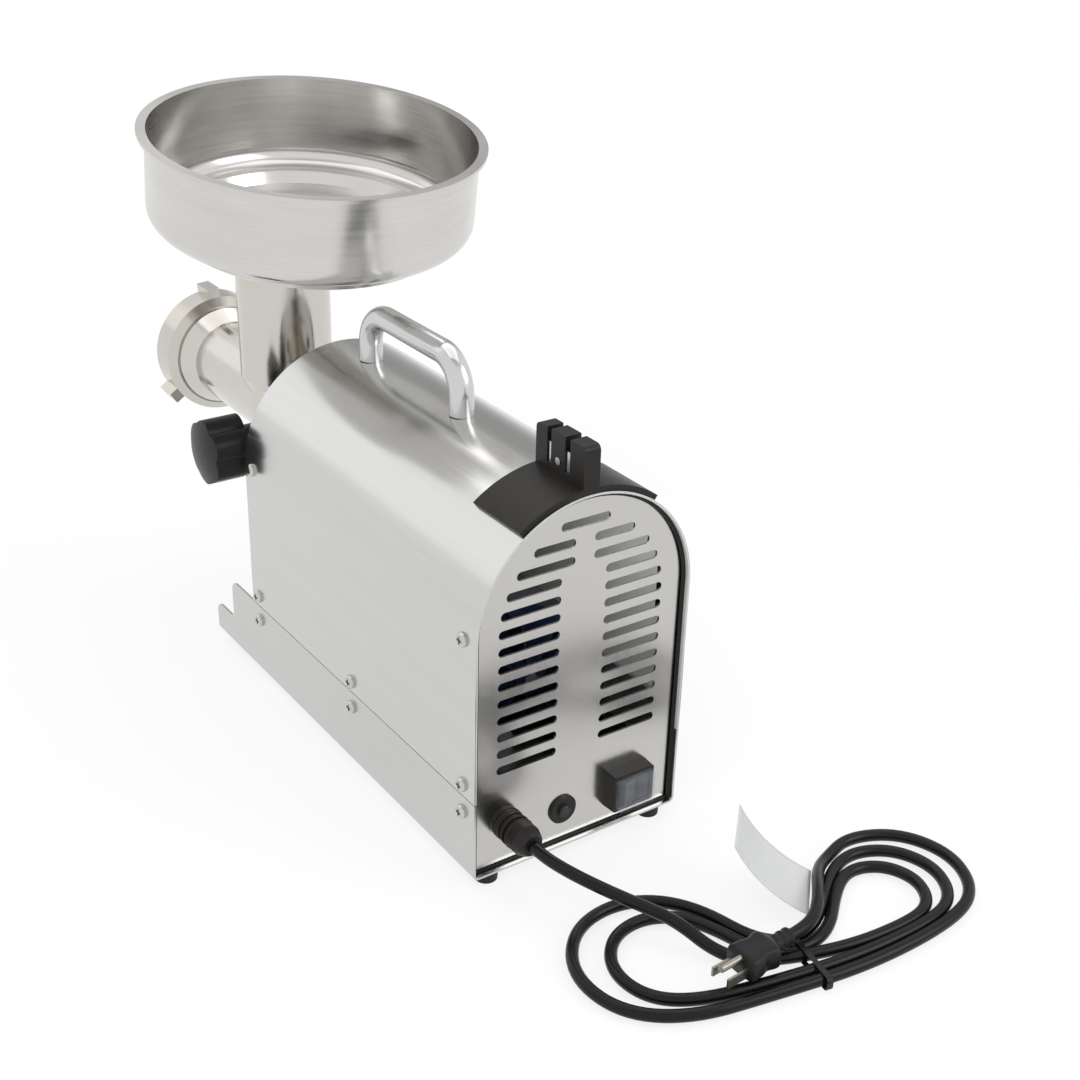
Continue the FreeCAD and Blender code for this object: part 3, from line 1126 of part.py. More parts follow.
def inwards(stations):
    return [(place, heading * -1) for place, heading in reversed(stations)]


def hank_stations():
    """Places and headings round the hank: a waist crossing, then a lobe, to and fro."""
    place, heading, up = spine(LEFT_WAY, HANK_START)
    lean = math.radians(HANK_START_LEAN)
    inward = heading * -math.cos(lean) - up * math.sin(lean)
    stations = [(place + up * HANK_START_SIDE, inward)]
    for i, (length, half) in enumerate(RIGHT_LOBES):
        offset = WAIST_STEP * (i + 0.5)
        stations += strand(RIGHT_WAY, length, half, offset, -1)
        stations.append(lobe_tip(RIGHT_WAY, length, 1))
        if i == len(LEFT_LOBES):
            stations.append(inwards(strand(RIGHT_WAY, length, half, offset, 1))[0])
            break
        stations += inwards(strand(RIGHT_WAY, length, half, offset, 1))
        length, half = LEFT_LOBES[i]
        stations += strand(LEFT_WAY, length, half, offset, 1)[1:]
        stations.append(lobe_tip(LEFT_WAY, length, -1))
        stations += inwards(strand(LEFT_WAY, length, half, offset + WAIST_STEP, -1))[:-1]
    return stations


def sweep_circle(edges, heading, radius):
    """Round tube along joined edges, with its volume set against section times length."""
    path = Part.Wire(edges)
    start = edges[0].valueAt(edges[0].FirstParameter)
    end = edges[0].valueAt(edges[0].LastParameter)
    if len(edges) > 1:
        nearest = min(edges[1].Vertexes, key=lambda v: v.Point.distanceToPoint(start))
        if nearest.Point.distanceToPoint(start) < 1e-6:
            start = end
    section = Part.Wire(Part.makeCircle(radius, start, heading))
    tube = path.makePipeShell([section], True, False)
    expected = math.pi * radius ** 2 * path.Length
    print("tube length %.1f, volume share %.4f" % (path.Length, tube.Volume / expected))
    return tube


def print_self_gap(edges, radius):
    """Prints the least gap of a tube to itself, on points along its line."""
    points = []
    travelled = []
    run = 0.0
    for edge in edges:
        count = max(3, int(edge.Length / 2))
        for p in edge.discretize(count):
            if points:
                run += p.distanceToPoint(points[-1])
            points.append(p)
            travelled.append(run)
    least = min(points[i].distanceToPoint(points[j])
                for i in range(len(points)) for j in range(i + 1, len(points))
                if travelled[j] - travelled[i] > 6 * radius)
    print("least gap of the hank to itself %.2f" % (least - 2 * radius))


def print_clearance(name, edges, loops):
    """Prints the least gap of a free run of cord to the hank."""
    near = [p for edge in loops for p in edge.discretize(max(3, int(edge.Length / 2)))]
    run = [p for edge in edges for p in edge.discretize(max(3, int(edge.Length / 2)))]
    least = min(p.distanceToPoint(q) for p in run for q in near)
    print("least gap of the %s to the hank %.2f" % (name, least - 2 * CORD_R))


def cord_route(points):
    """Straight runs joined by the largest tangent arcs, as edges; prints the radii."""
    edges = []
    at = points[0]
    radii = []
    for before, corner, after in zip(points, points[1:], points[2:]):
        run = min((corner - before).Length, (after - corner).Length)
        turn = (corner - before).getAngle(after - corner)
        radius = 0.45 * run / math.tan(turn / 2)
        radii.append(round(radius, 1))
        start, nearest, stop = corner_arc(before, corner, after, radius)
        edges.append(Part.LineSegment(at, start).toShape())
        edges.append(Part.Arc(start, nearest, stop).toShape())
        at = stop
    edges.append(Part.LineSegment(at, points[-1]).toShape())
    print("arc radii", radii)
    return edges


def lead_points():
    """The lead from the gland over the left loops, down into the hank; its middle is chosen by hand."""
    start = V(GLAND_X, REAR + GLAND_REACH, BASE_Z + GLAND_HEIGHT)
    by_hand = [(44.5, 56.0, 36.0), (35.0, 72.5, 31.5), (20.5, 88.5, 25.5), (4.5, 107.5, 18.5)]
    points = [start, start + Y_AXIS * LEAD_OUT] + [V(x, REAR + back, z) for x, back, z in by_hand]
    join, heading = hank_stations()[0]
    return points + [join - heading * LEAD_RUN, join]


def tail_points():
    """From the last loop up over the waist to the plug, on one smooth curve with straight ends."""
    begin = hank_stations()[-1][0]
    finish = plug_back()
    start = begin - RIGHT_WAY * TAIL_STRAIGHT
    plug = finish - plug_way() * TAIL_STRAIGHT
    leave = RIGHT_WAY * -TAIL_PULL
    arrive = plug_way() * TAIL_PULL
    points = [begin]
    for i in range(TAIL_RUNS + 1):
        t = i / TAIL_RUNS
        p = start * (2 * t ** 3 - 3 * t ** 2 + 1) + leave * (t ** 3 - 2 * t ** 2 + t)
        p = p + plug * (3 * t ** 2 - 2 * t ** 3) + arrive * (t ** 3 - t ** 2)
        p.z = start.z + (plug.z - start.z) * math.sin(math.pi / 2 * min(1.4 * t, 1.0)) ** 1.5
        points.append(p)
    return points + [finish]


def plug_way():
    turn = math.radians(PLUG_TURN)
    side = V(ALONG_WAIST.y, -ALONG_WAIST.x, 0)
    return ALONG_WAIST * -math.cos(turn) + side * math.sin(turn)


def plug_back():
    """Where the cord enters the plug, which lies on the strands beside the tie."""
    rest = 2 * CORD_R + HANK_LIFT + GAP + PLUG_TALL / 2
    place = WAIST - ALONG_WAIST * PLUG_START + TO_TOP * PLUG_SIDE
    place.z = rest
    return place


def cord():
    loops = []
    stations = hank_stations()
    for (p0, t0), (p1, t1) in zip(stations, stations[1:]):
        loops += biarc(p0, t0, p1, t1)
    print_self_gap(loops, CORD_R)
    keep("power_cord_hank", sweep_circle(loops, stations[0][1], CORD_R))
    lead = lead_points()
    lead_edges = cord_route(lead)
    keep("power_cord_lead", sweep_circle(lead_edges, lead[1] - lead[0], CORD_R))
    tail = tail_points()
    tail_edges = cord_route(tail)
    keep("power_cord_tail", sweep_circle(tail_edges, tail[1] - tail[0], CORD_R))
    print_clearance("lead", lead_edges[:-1], loops)
    print_clearance("tail", tail_edges[2:], loops[:-1])
    place_plug(math.degrees(math.atan2(plug_way().y, plug_way().x)))
    place_tie(math.degrees(math.atan2(ALONG_WAIST.y, ALONG_WAIST.x)))
    place_tag()


def place_plug(turn):
    """Tapered plug body and three blades, made along +X and then laid beside the tie."""
    w, t = PLUG_WIDTH / 2, PLUG_TALL / 2
    neck = CORD_R + 2
    back = rounded_wire([V(0, -neck, -neck), V(0, neck, -neck), V(0, neck, neck), V(0, -neck, neck)], [neck * 0.6] * 4)
    n = PLUG_TAPER
    mid = rounded_wire([V(n, -w, -t), V(n, w, -t), V(n, w, t), V(n, -w, t)], [t * 0.6] * 4)
    face = rounded_wire([V(PLUG_LENGTH, -w, -t), V(PLUG_LENGTH, w, -t), V(PLUG_LENGTH, w, t), V(PLUG_LENGTH, -w, t)],
                        [t * 0.6] * 4)
    body = Part.makeLoft([back, mid, face], True, True)
    blades = []
    for side in (-1, 1):
        y = side * BLADE_SPACING / 2
        blades.append(box(PLUG_LENGTH, PLUG_LENGTH + BLADE_LENGTH, y - BLADE_THICK / 2, y + BLADE_THICK / 2,
                          -BLADE_WIDTH / 2 - 2, BLADE_WIDTH / 2 - 2))
    blades.append(along_x(BLADE_THICK * 1.6, PLUG_LENGTH, PLUG_LENGTH + BLADE_LENGTH, 0, PLUG_TALL / 2 - 4))
    for solid in [body] + blades:
        solid.rotate(V(0, 0, 0), Z_AXIS, turn)
        solid.translate(plug_back())
    keep("power_plug", body)
    keep("plug_blades", blades)


def place_tie(turn):
    """Flat strap round the strands at the waist."""
    upper = WAIST_STEP * len(LEFT_LOBES) + GAP
    lower = WAIST_STEP * len(RIGHT_LOBES) + GAP
    z0, z1 = HANK_LIFT - GAP, HANK_LIFT + 2 * CORD_R + GAP
    r = CORD_R
    inner = [V(0, -lower, z0), V(0, upper, z0), V(0, upper, z1), V(0, -lower, z1)]
    g = TIE_THICK
    outer = [V(0, -lower - g, z0 - g), V(0, upper + g, z0 - g), V(0, upper + g, z1 + g), V(0, -lower - g, z1 + g)]
    strap = prism(outer, [r + g - 1] * 4, V(TIE_WIDTH, 0, 0)).cut(prism(inner, [r - 1] * 4, V(TIE_WIDTH, 0, 0)))
    strap.translate(V(-TIE_WIDTH / 2, 0, 0))
    if V(0, 1, 0).dot(TO_TOP) < 0:
        strap = strap.mirror(V(0, 0, 0), Y_AXIS)
    strap.rotate(V(0, 0, 0), Z_AXIS, turn + 180)
    strap.translate(V(WAIST.x, WAIST.y, 0))
    keep("cord_tie", strap)


def place_tag():
    """Blank paper flag that curls up from a strand of the right loops."""
    sweep = math.radians(TAG_SWEEP)
    outer, inner = TAG_RADIUS, TAG_RADIUS - TAG_THICK
    low = 2 * CORD_R + HANK_LIFT + GAP

    def at(radius, angle):
        return V(radius * math.sin(angle), 0, low + TAG_RADIUS - radius * math.cos(angle))

    edges = [
        Part.Arc(at(outer, 0), at(outer, sweep / 2), at(outer, sweep)).toShape(),
        Part.LineSegment(at(outer, sweep), at(inner, sweep)).toShape(),
        Part.Arc(at(inner, sweep), at(inner, sweep / 2), at(inner, 0)).toShape(),
        Part.LineSegment(at(inner, 0), at(outer, 0)).toShape(),
    ]
    tag = Part.Face(Part.Wire(edges)).extrude(V(0, TAG_WIDTH, 0))
    tag.rotate(V(0, 0, 0), Z_AXIS, -90 + TAG_TURN)
    tag.translate(V(TAG_FOOT[0], REAR + TAG_FOOT[1], 0))
    keep("cord_tag", tag)


base_tray()
housing_cover()
panels()
rails_and_screws()
feet()
handle()
sharpener()
switch()
breaker()
gland()
gear_train()
gearbox()
motor()
head_collar()
head()
auger()
hopper_pan()
cord()

for name, shape in nodes.items():
    if not shape.isValid():
        print("not valid:", name)
    shape.exportStep("parts/%s.step" % name)
print(len(nodes), "nodes, rear edge at y %.2f" % REAR)
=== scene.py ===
"""Looks of an electric meat grinder: steel housing, cast grinding head, hopper pan and tied mains cord."""
import logging
from dataclasses import dataclass, field
from enum import Enum
from math import atan2, copysign, cos, exp, pi, radians, sin, tan
from typing import Any, Optional, Sequence, Union

import bmesh
import bpy
from bpy.types import Material, Mesh, Node, NodeTree, Object, NodeSocket as Socket
from mathutils import Matrix, Vector


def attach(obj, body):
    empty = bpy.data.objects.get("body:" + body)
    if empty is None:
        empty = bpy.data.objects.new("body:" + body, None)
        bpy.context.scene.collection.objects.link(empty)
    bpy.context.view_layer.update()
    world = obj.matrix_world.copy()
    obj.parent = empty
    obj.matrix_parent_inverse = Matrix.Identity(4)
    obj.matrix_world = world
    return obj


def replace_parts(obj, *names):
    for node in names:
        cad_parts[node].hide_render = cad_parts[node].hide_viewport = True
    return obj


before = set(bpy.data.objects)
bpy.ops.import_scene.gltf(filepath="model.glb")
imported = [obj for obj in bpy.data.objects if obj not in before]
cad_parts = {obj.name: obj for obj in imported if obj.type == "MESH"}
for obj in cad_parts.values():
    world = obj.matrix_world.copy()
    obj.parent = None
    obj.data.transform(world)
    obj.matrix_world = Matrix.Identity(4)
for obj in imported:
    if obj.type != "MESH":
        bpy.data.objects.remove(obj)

log = logging.getLogger("meat_grinder")
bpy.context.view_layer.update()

# Lengths are in metres, apart from those of classes that say millimetres
MM = 0.001
REAR = 261.05 * MM
FRONT = -46.95 * MM
PANEL_Y = REAR - 5.0 * MM
DRIVE_Z = 180.2 * MM
ARCH_Z = 176.5 * MM
RING_STEPS = 40
WIRE_STEPS = 12
LINE_HEIGHT = 0.08 * MM

Point = Sequence[float]
Span = tuple[float, float]
Number = Union[float, "Value"]


def rgb(r: float, g: float, b: float) -> tuple:
    """Opaque colour."""
    return (r, g, b, 1.0)


def grey(level: float) -> tuple:
    """Opaque grey."""
    return rgb(level, level, level)


def shade(colour: Point, factor: float) -> tuple:
    """Colour made lighter or darker by a factor."""
    return rgb(*(min(1.0, c * factor) for c in colour))


WHITE = grey(1.0)


class Value:
    """A number socket of a shader graph that can stand in Python expressions."""

    def __init__(self, graph: "Tree", socket: Socket) -> None:
        """Keeps the graph and the socket."""
        self.graph = graph
        self.socket = socket

    def __add__(self, other: Number) -> "Value":
        """Sum."""
        return self.graph.maths("ADD", self, other)

    __radd__ = __add__

    def __sub__(self, other: Number) -> "Value":
        """Difference."""
        return self.graph.maths("SUBTRACT", self, other)

    def __rsub__(self, other: Number) -> "Value":
        """Reflected difference."""
        return self.graph.maths("SUBTRACT", other, self)

    def __mul__(self, other: Number) -> "Value":
        """Product."""
        return self.graph.maths("MULTIPLY", self, other)

    __rmul__ = __mul__

    def __pow__(self, other: Number) -> "Value":
        """Power."""
        return self.graph.maths("POWER", self, other)

    def __rpow__(self, other: Number) -> "Value":
        """Reflected power."""
        return self.graph.maths("POWER", other, self)


class Tree:
    """A node tree, with one method that makes any node."""

    def __init__(self, tree: NodeTree) -> None:
        """Keeps the tree that the nodes go into."""
        self.tree = tree

    def node(self, kind: str, sockets: Optional[dict] = None, **settings: Any) -> Node:
        """Makes a node, then sets its settings and its sockets.

        Args:
            kind: the node's type name.
            sockets: socket name or index to a number, colour, Value or output socket.
            settings: attribute values, such as a Math node's operation.

        Returns:
            The node.
        """
        made = self.tree.nodes.new(kind)
        for key, value in settings.items():
            setattr(made, key, value)
        for key, value in (sockets or {}).items():
            self.feed(made.inputs[key], value)
        return made

    def feed(self, socket: Socket, value: Any) -> None:
        """Links a Value or a socket to a socket, or sets its number.

        Args:
            socket: the input.
            value: what goes into it.
        """
        if isinstance(value, Value):
            self.tree.links.new(value.socket, socket)
        elif isinstance(value, Socket):
            self.tree.links.new(value, socket)
        else:
            socket.default_value = value

    def maths(self, operation: str, a: Number, b: Number = 0.0) -> Value:
        """One Math node on two numbers."""
        made = self.node("ShaderNodeMath", {0: a, 1: b}, operation=operation)
        return Value(self, made.outputs[0])

    def background_rays(self) -> Value:
        """1 for rays that show the background: camera, glossy and transmission rays."""
        path = self.node("ShaderNodeLightPath")
        kinds = ("Is Camera Ray", "Is Glossy Ray", "Is Transmission Ray")
        first, second, third = (Value(self, path.outputs[kind]) for kind in kinds)
        return self.maths("MINIMUM", first + second + third, 1.0)

    def mixed(self, factor: Number, a: Socket, b: Socket) -> Socket:
        """Shader between a, where the factor is 0, and b, where it is 1."""
        return self.node("ShaderNodeMixShader", {0: factor, 1: a, 2: b}).outputs[0]


class Graph(Tree):
    """A material's node tree round one Principled shader."""

    def __init__(self, name: str) -> None:
        """Makes an empty node material with a Principled shader.

        Args:
            name: the material's name.
        """
        self.material = bpy.data.materials.new(name)
        self.material.use_nodes = True
        super().__init__(self.material.node_tree)
        self.tree.nodes.clear()
        self.output = self.node("ShaderNodeOutputMaterial")
        self.shader = self.node("ShaderNodeBsdfPrincipled")
        self.show(self.shader.outputs["BSDF"])

    def show(self, shader: Socket) -> None:
        """Makes a shader the material's surface."""
        self.feed(self.output.inputs["Surface"], shader)

    def place(self, scale: Point = (1, 1, 1), shift: Point = (0, 0, 0)) -> Socket:
        """Object coordinates, scaled and then shifted by a Mapping node.

        Args:
            scale: factor on each axis.
            shift: offset after scaling, in scaled units.

        Returns:
            The vector socket.
        """
        at = self.node("ShaderNodeTexCoord").outputs["Object"]
        mapping = self.node("ShaderNodeMapping", {"Vector": at, "Scale": scale, "Location": shift})
        return mapping.outputs["Vector"]

    def vector(self, x: Number, y: Number, z: Number) -> Socket:
        """Vector of three numbers."""
        return self.node("ShaderNodeCombineXYZ", {0: x, 1: y, 2: z}).outputs[0]

    def split(self, vector: Socket) -> tuple:
        """The three numbers of a vector."""
        outputs = self.node("ShaderNodeSeparateXYZ", {0: vector}).outputs
        return tuple(Value(self, outputs[i]) for i in range(3))

    def noise(self, vector: Socket, scale: float = 1.0, detail: float = 2.0, rough: float = 0.5) -> Value:
        """Noise texture value from 0 to 1.

        Args:
            vector: where to read it.
            scale: size of the pattern.
            detail: octaves.
            rough: weight of the finer octaves.

        Returns:
            The noise.
        """
        made = self.node("ShaderNodeTexNoise",
                         {"Vector": vector, "Scale": scale, "Detail": detail, "Roughness": rough})
        return Value(self, made.outputs[0])

    def ramp(self, value: Value, low: float, high: float) -> Value:
        """Value stretched so that low gives 0 and high gives 1, and clamped."""
        made = self.node("ShaderNodeMapRange",
                         {"Value": value, "From Min": low, "From Max": high}, clamp=True)
        return Value(self, made.outputs[0])

    def distance(self, near: float, far: float) -> Value:
        """0 up to one distance from the object's origin, and 1 from another."""
        away = self.node("ShaderNodeVectorMath", {0: self.place()}, operation="LENGTH")
        return self.ramp(Value(self, away.outputs["Value"]), near, far)

    def blend(self, factor: Number, a: tuple, b: tuple) -> Socket:
        """Colour between a, where the factor is 0, and b, where it is 1."""
        made = self.node("ShaderNodeMix", {0: factor, 6: a, 7: b}, data_type="RGBA")
        return made.outputs[2]

    def shades(self, factor: Number, colour: Point, dark: float, light: float) -> Socket:
        """Colour that the factor takes from one shade to another."""
        return self.blend(factor, shade(colour, dark), shade(colour, light))

    def glow(self, colour: Any) -> Socket:
        """Light of that colour."""
        return self.node("ShaderNodeEmission", {"Color": colour, "Strength": 1.0}).outputs[0]

    def bump(self, height: Value, strength: float, distance: float) -> None:
        """Feeds a height through a Bump node to the shader's normal."""
        made = self.node("ShaderNodeBump", {"Height": height, "Strength": strength, "Distance": distance})
        self.feed(self.shader.inputs["Normal"], made.outputs[0])

    def surface(self, **sockets: Any) -> Material:
        """Sets sockets of the shader by name, with underscores for spaces.

        Args:
            sockets: values or links.

        Returns:
            The finished material.
        """
        for key, value in sockets.items():
            self.feed(self.shader.inputs[key.replace("_", " ")], value)
        return self.material


def new_object(name: str, data: Any) -> Object:
    """Object in the scene, with a mesh, curve, lamp or camera as its data."""
    made = bpy.data.objects.new(name, data)
    bpy.context.scene.collection.objects.link(made)
    return made


class Pattern(Tree):
    """A Geometry Nodes tree with named sizes, which ends as one plain mesh."""

    def __init__(self, name: str, sizes: dict) -> None:
        """Makes the tree and its named inputs.

        Args:
            name: the tree's name.
            sizes: input name to its size.
        """
        super().__init__(bpy.data.node_groups.new(name, "GeometryNodeTree"))
        face = self.tree.interface
        face.new_socket("Geometry", in_out="INPUT", socket_type="NodeSocketGeometry")
        face.new_socket("Geometry", in_out="OUTPUT", socket_type="NodeSocketGeometry")
        self.values = {face.new_socket(key, in_out="INPUT", socket_type="NodeSocketFloat").identifier: size
                       for key, size in sizes.items()}
        self.given = self.node("NodeGroupInput")
        self.result = self.node("NodeGroupOutput")

    def size(self, key: str) -> Value:
        """A named input."""
        return Value(self, self.given.outputs[key])

    def mesh(self, shape: Socket, host: Mesh, material: Material) -> Mesh:
        """Ends the tree, runs it on a host mesh and keeps the result.

        Args:
            shape: the geometry that the tree makes.
            host: the points or edges that it starts from.
            material: its finish.

        Returns:
            A plain mesh.
        """
        real = self.node("GeometryNodeRealizeInstances", {0: shape})
        done = self.node("GeometryNodeSetMaterial", {"Geometry": real.outputs[0], "Material": material})
        self.feed(self.result.inputs[0], done.outputs[0])
        carrier = new_object(self.tree.name, host)
        modifier = carrier.modifiers.new("pattern", "NODES")
        modifier.node_group = self.tree
        for key, value in self.values.items():
            modifier[key] = value
        graph = bpy.context.evaluated_depsgraph_get()
        mesh = bpy.data.meshes.new_from_object(carrier.evaluated_get(graph))
        carrier.modifiers.remove(modifier)
        bpy.data.objects.remove(carrier)
        return mesh


def ring_pattern(name: str, places: Sequence[Point], radius: float, wire: float,
                 material: Material) -> Mesh:
    """Equal round-section rings about the Y axis, at a list of places.

    Args:
        name: the pattern's name.
        places: the rings' middles.
        radius: from a ring's middle to the middle of its section.
        wire: radius of the section.
        material: the finish.

    Returns:
        The mesh of all rings.
    """
    host = bpy.data.meshes.new(name)
    host.from_pydata([tuple(place) for place in places], [], [])
    t = Pattern(name, {"Ring Radius": radius, "Wire Radius": wire})
    kind = "GeometryNodeCurvePrimitiveCircle"
    path = t.node(kind, {"Resolution": RING_STEPS, "Radius": t.size("Ring Radius")})
    section = t.node(kind, {"Resolution": WIRE_STEPS, "Radius": t.size("Wire Radius")})
    ring = t.node("GeometryNodeCurveToMesh", {"Curve": path.outputs[0], "Profile Curve": section.outputs[0]})
    spread = t.node("GeometryNodeInstanceOnPoints",
                    {"Points": t.given.outputs[0], "Instance": ring.outputs[0], "Rotation": (pi / 2, 0, 0)})
    return t.mesh(spread.outputs[0], host, material)


class Grain(Enum):
    """Way in which a steel surface was brushed, as the pattern's scale on each axis."""

    LENGTHWISE = (500.0, 7.0, 500.0)
    CROSSWISE = (7.0, 500.0, 500.0)
    UPRIGHT = (500.0, 500.0, 7.0)
    EVEN = (220.0, 220.0, 220.0)


@dataclass(frozen=True)
class BrushedSteel:
    """Satin sheet with very fine brush lines, faint smudges and, within the lining radius, a dull inside."""

    name: str
    colour: Point = (0.6, 0.6, 0.59)
    roughness: float = 0.2
    grain: Grain = Grain.LENGTHWISE
    depth: float = 0.05
    contrast: float = 0.03
    smudge: float = 0.05
    lining: float = 0.0
    band_scale: float = 0.12
    band_share: float = 0.45
    line_rough: float = 0.04
    mean_rough: float = 0.045
    dull_metallic: float = 0.2
    dull_rough: float = 0.35

    def polished(self, g: Graph) -> Value:
        """1 on the outer skin of the arched sheet, and 0 on its dull inside.

        Args:
            g: the material's graph.

        Returns:
            The mask.
        """
        x, _, z = g.split(g.place())
        above = g.maths("MAXIMUM", z - ARCH_Z, 0.0)
        return g.maths("GREATER_THAN", (x * x + above * above) ** 0.5, self.lining)

    def material(self) -> Material:
        """Builds the node material."""
        g = Graph(self.name)
        skin = self.polished(g)
        lines = g.noise(g.place(self.grain.value), detail=3.0, rough=0.65)
        bands = g.noise(g.place(tuple(s * self.band_scale for s in self.grain.value)))
        cloud = g.noise(g.place(), scale=9.0, detail=4.0)
        mixed = lines * (1.0 - self.band_share) + bands * self.band_share
        tone = g.ramp(mixed, low=0.3, high=0.7)
        g.bump(lines, self.depth, LINE_HEIGHT)
        rough = g.ramp(lines, low=0.25, high=0.75) * self.line_rough + cloud * self.smudge
        rough = rough + (self.roughness - self.mean_rough)
        return g.surface(Base_Color=g.shades(tone, self.colour, 1 - self.contrast, 1 + self.contrast),
                         Metallic=skin * (1.0 - self.dull_metallic) + self.dull_metallic,
                         Roughness=rough + (1.0 - skin) * self.dull_rough)


@dataclass(frozen=True)
class TurnedSteel:
    """Steel brushed in circles about an upright or tilted axis, as a spun pan is."""

    name: str
    centre: Point
    tilt: float
    colour: Point = (0.635, 0.625, 0.605)
    roughness: float = 0.21
    contrast: float = 0.07
    line_scale: float = 700.0
    line_turn: float = 1.2
    band_scale: float = 60.0
    band_turn: float = 2.0
    wipe_scale: float = 14.0
    wipe_drop: float = 2.0
    tone_shares: Point = (0.4, 0.25, 0.35)
    rough_shares: Point = (0.05, 0.06, 0.08)
    mean_rough: float = 0.09

    def material(self) -> Material:
        """Builds the node material."""
        g = Graph(self.name)
        at = g.place((1, 1, 1), tuple(-c for c in self.centre))
        turned = g.node("ShaderNodeVectorRotate", {"Vector": at, "Angle": self.tilt}, rotation_type="X_AXIS")
        x, y, z = g.split(turned.outputs[0])
        radius = (x * x + y * y) ** 0.5
        angle = g.maths("ARCTAN2", y, x)
        rings = g.vector(radius * self.line_scale, z * self.line_scale, angle * self.line_turn)
        lines = g.noise(rings, detail=3.0, rough=0.6)
        broad = g.vector(radius * self.band_scale, z * self.band_scale, angle * self.band_turn)
        bands = g.noise(broad)
        haze = g.noise(g.vector(x * self.wipe_scale, y * self.wipe_scale, z * self.wipe_drop))
        cloud = g.noise(g.place(), scale=14.0, detail=4.0)
        share = self.tone_shares
        tone = g.ramp(lines * share[0] + bands * share[1] + haze * share[2], low=0.32, high=0.68)
        g.bump(lines, strength=0.05, distance=LINE_HEIGHT)
        share = self.rough_shares
        rough = g.ramp(lines, low=0.25, high=0.75) * share[0] + cloud * share[1]
        rough = rough + g.ramp(haze, low=0.35, high=0.65) * share[2] + (self.roughness - self.mean_rough)
        return g.surface(Base_Color=g.shades(tone, self.colour, 1 - self.contrast, 1 + self.contrast),
                         Metallic=1.0, Roughness=rough)


@dataclass(frozen=True)
class PolishedMetal:
    """Polished casting or plated bar with faint ripples and hazy patches."""

    name: str
    colour: Point = (0.74, 0.73, 0.71)
    roughness: float = 0.14
    ripple: float = 0.12
    pores: float = 0.0
    haze_rough: float = 0.12
    mean_rough: float = 0.04

    def material(self) -> Material:
        """Builds the node material."""
        g = Graph(self.name)
        haze = g.noise(g.place(), scale=26.0, detail=4.0, rough=0.6)
        waves = g.noise(g.place(), scale=70.0, detail=1.0)
        fine = g.noise(g.place(), scale=900.0)
        g.bump(waves * (1.0 - self.pores) + fine * self.pores, self.ripple, distance=0.4 * MM)
        rough = g.ramp(haze, low=0.35, high=0.7) * self.haze_rough + (self.roughness - self.mean_rough)
        return g.surface(Base_Color=g.shades(haze, self.colour, dark=0.92, light=1.06), Metallic=1.0,
                         Roughness=rough)


@dataclass(frozen=True)
class MouldedPlastic:
    """Dark moulded plastic or rubber with a fine spark-eroded grain and rubbed patches."""

    name: str
    colour: Point = (0.018, 0.018, 0.019)
    roughness: float = 0.45
    grain: float = 700.0
    depth: float = 0.3
    dust: float = 0.25
    spread: float = 0.12
    specular: float = 0.24

    def material(self) -> Material:
        """Builds the node material."""
        g = Graph(self.name)
        grit = g.noise(g.place(), self.grain, detail=3.0, rough=0.6)
        rubbed = g.noise(g.place(), scale=40.0, detail=4.0)
        g.bump(grit, self.depth, distance=0.25 * MM)
        mask = g.ramp(rubbed, low=0.45, high=0.75) * self.dust
        rough = g.ramp(grit, low=0.3, high=0.7) * self.spread + rubbed * self.spread
        return g.surface(Base_Color=g.shades(mask, self.colour, dark=1.0, light=2.1), Metallic=0.0,
                         Roughness=rough + (self.roughness - self.spread), Specular_IOR_Level=self.specular)


@dataclass(frozen=True)
class ClearPlastic:
    """Clear moulded cap with a blue-grey tint."""

    name: str
    tint: Point = (0.5, 0.53, 0.56)
    alpha: float = 0.11
    roughness: float = 0.11
    spread: float = 0.1
    ior: float = 1.49

    def material(self) -> Material:
        """Builds the node material."""
        g = Graph(self.name)
        cloud = g.noise(g.place(), scale=120.0)
        g.bump(cloud, strength=0.08, distance=0.3 * MM)
        return g.surface(Base_Color=g.shades(cloud, self.tint, dark=0.9, light=1.05),
                         Roughness=cloud * self.spread + (self.roughness - self.spread / 2),
                         Alpha=cloud * self.spread + (self.alpha - self.spread / 2), IOR=self.ior)


@dataclass(frozen=True)
class PlainPaper:
    """Blank white paper with soft fibres and faint creases."""

    name: str
    colour: Point = (0.66, 0.66, 0.65)
    roughness: float = 0.77
    spread: float = 0.1

    def material(self) -> Material:
        """Builds the node material."""
        g = Graph(self.name)
        fibre = g.noise(g.place(), scale=420.0, detail=4.0, rough=0.7)
        crease = g.noise(g.place(), scale=60.0, detail=3.0)
        g.bump((fibre + crease) * 0.5, strength=0.2, distance=0.4 * MM)
        return g.surface(Base_Color=g.shades(crease, self.colour, dark=0.93, light=1.04),
                         Roughness=fibre * self.spread + (self.roughness - self.spread / 2))


Finish = Union[BrushedSteel, TurnedSteel, PolishedMetal, MouldedPlastic, ClearPlastic]


def new_piece(name: str, mesh: Mesh, material: Material, body: str,
              smooth: bool = True) -> Object:
    """Puts a mesh in the scene as a finished piece.

    Args:
        name: the piece's name.
        mesh: its mesh, in the row frame.
        material: its finish.
        body: the body that it rides on.
        smooth: smooth shading.

    Returns:
        The object.
    """
    piece = new_object(name, mesh)
    mesh.materials.clear()
    mesh.materials.append(material)
    mesh.polygons.foreach_set("use_smooth", [smooth] * len(mesh.polygons))
    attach(piece, body)
    log.info("piece %s: %d faces", name, len(mesh.polygons))
    return piece


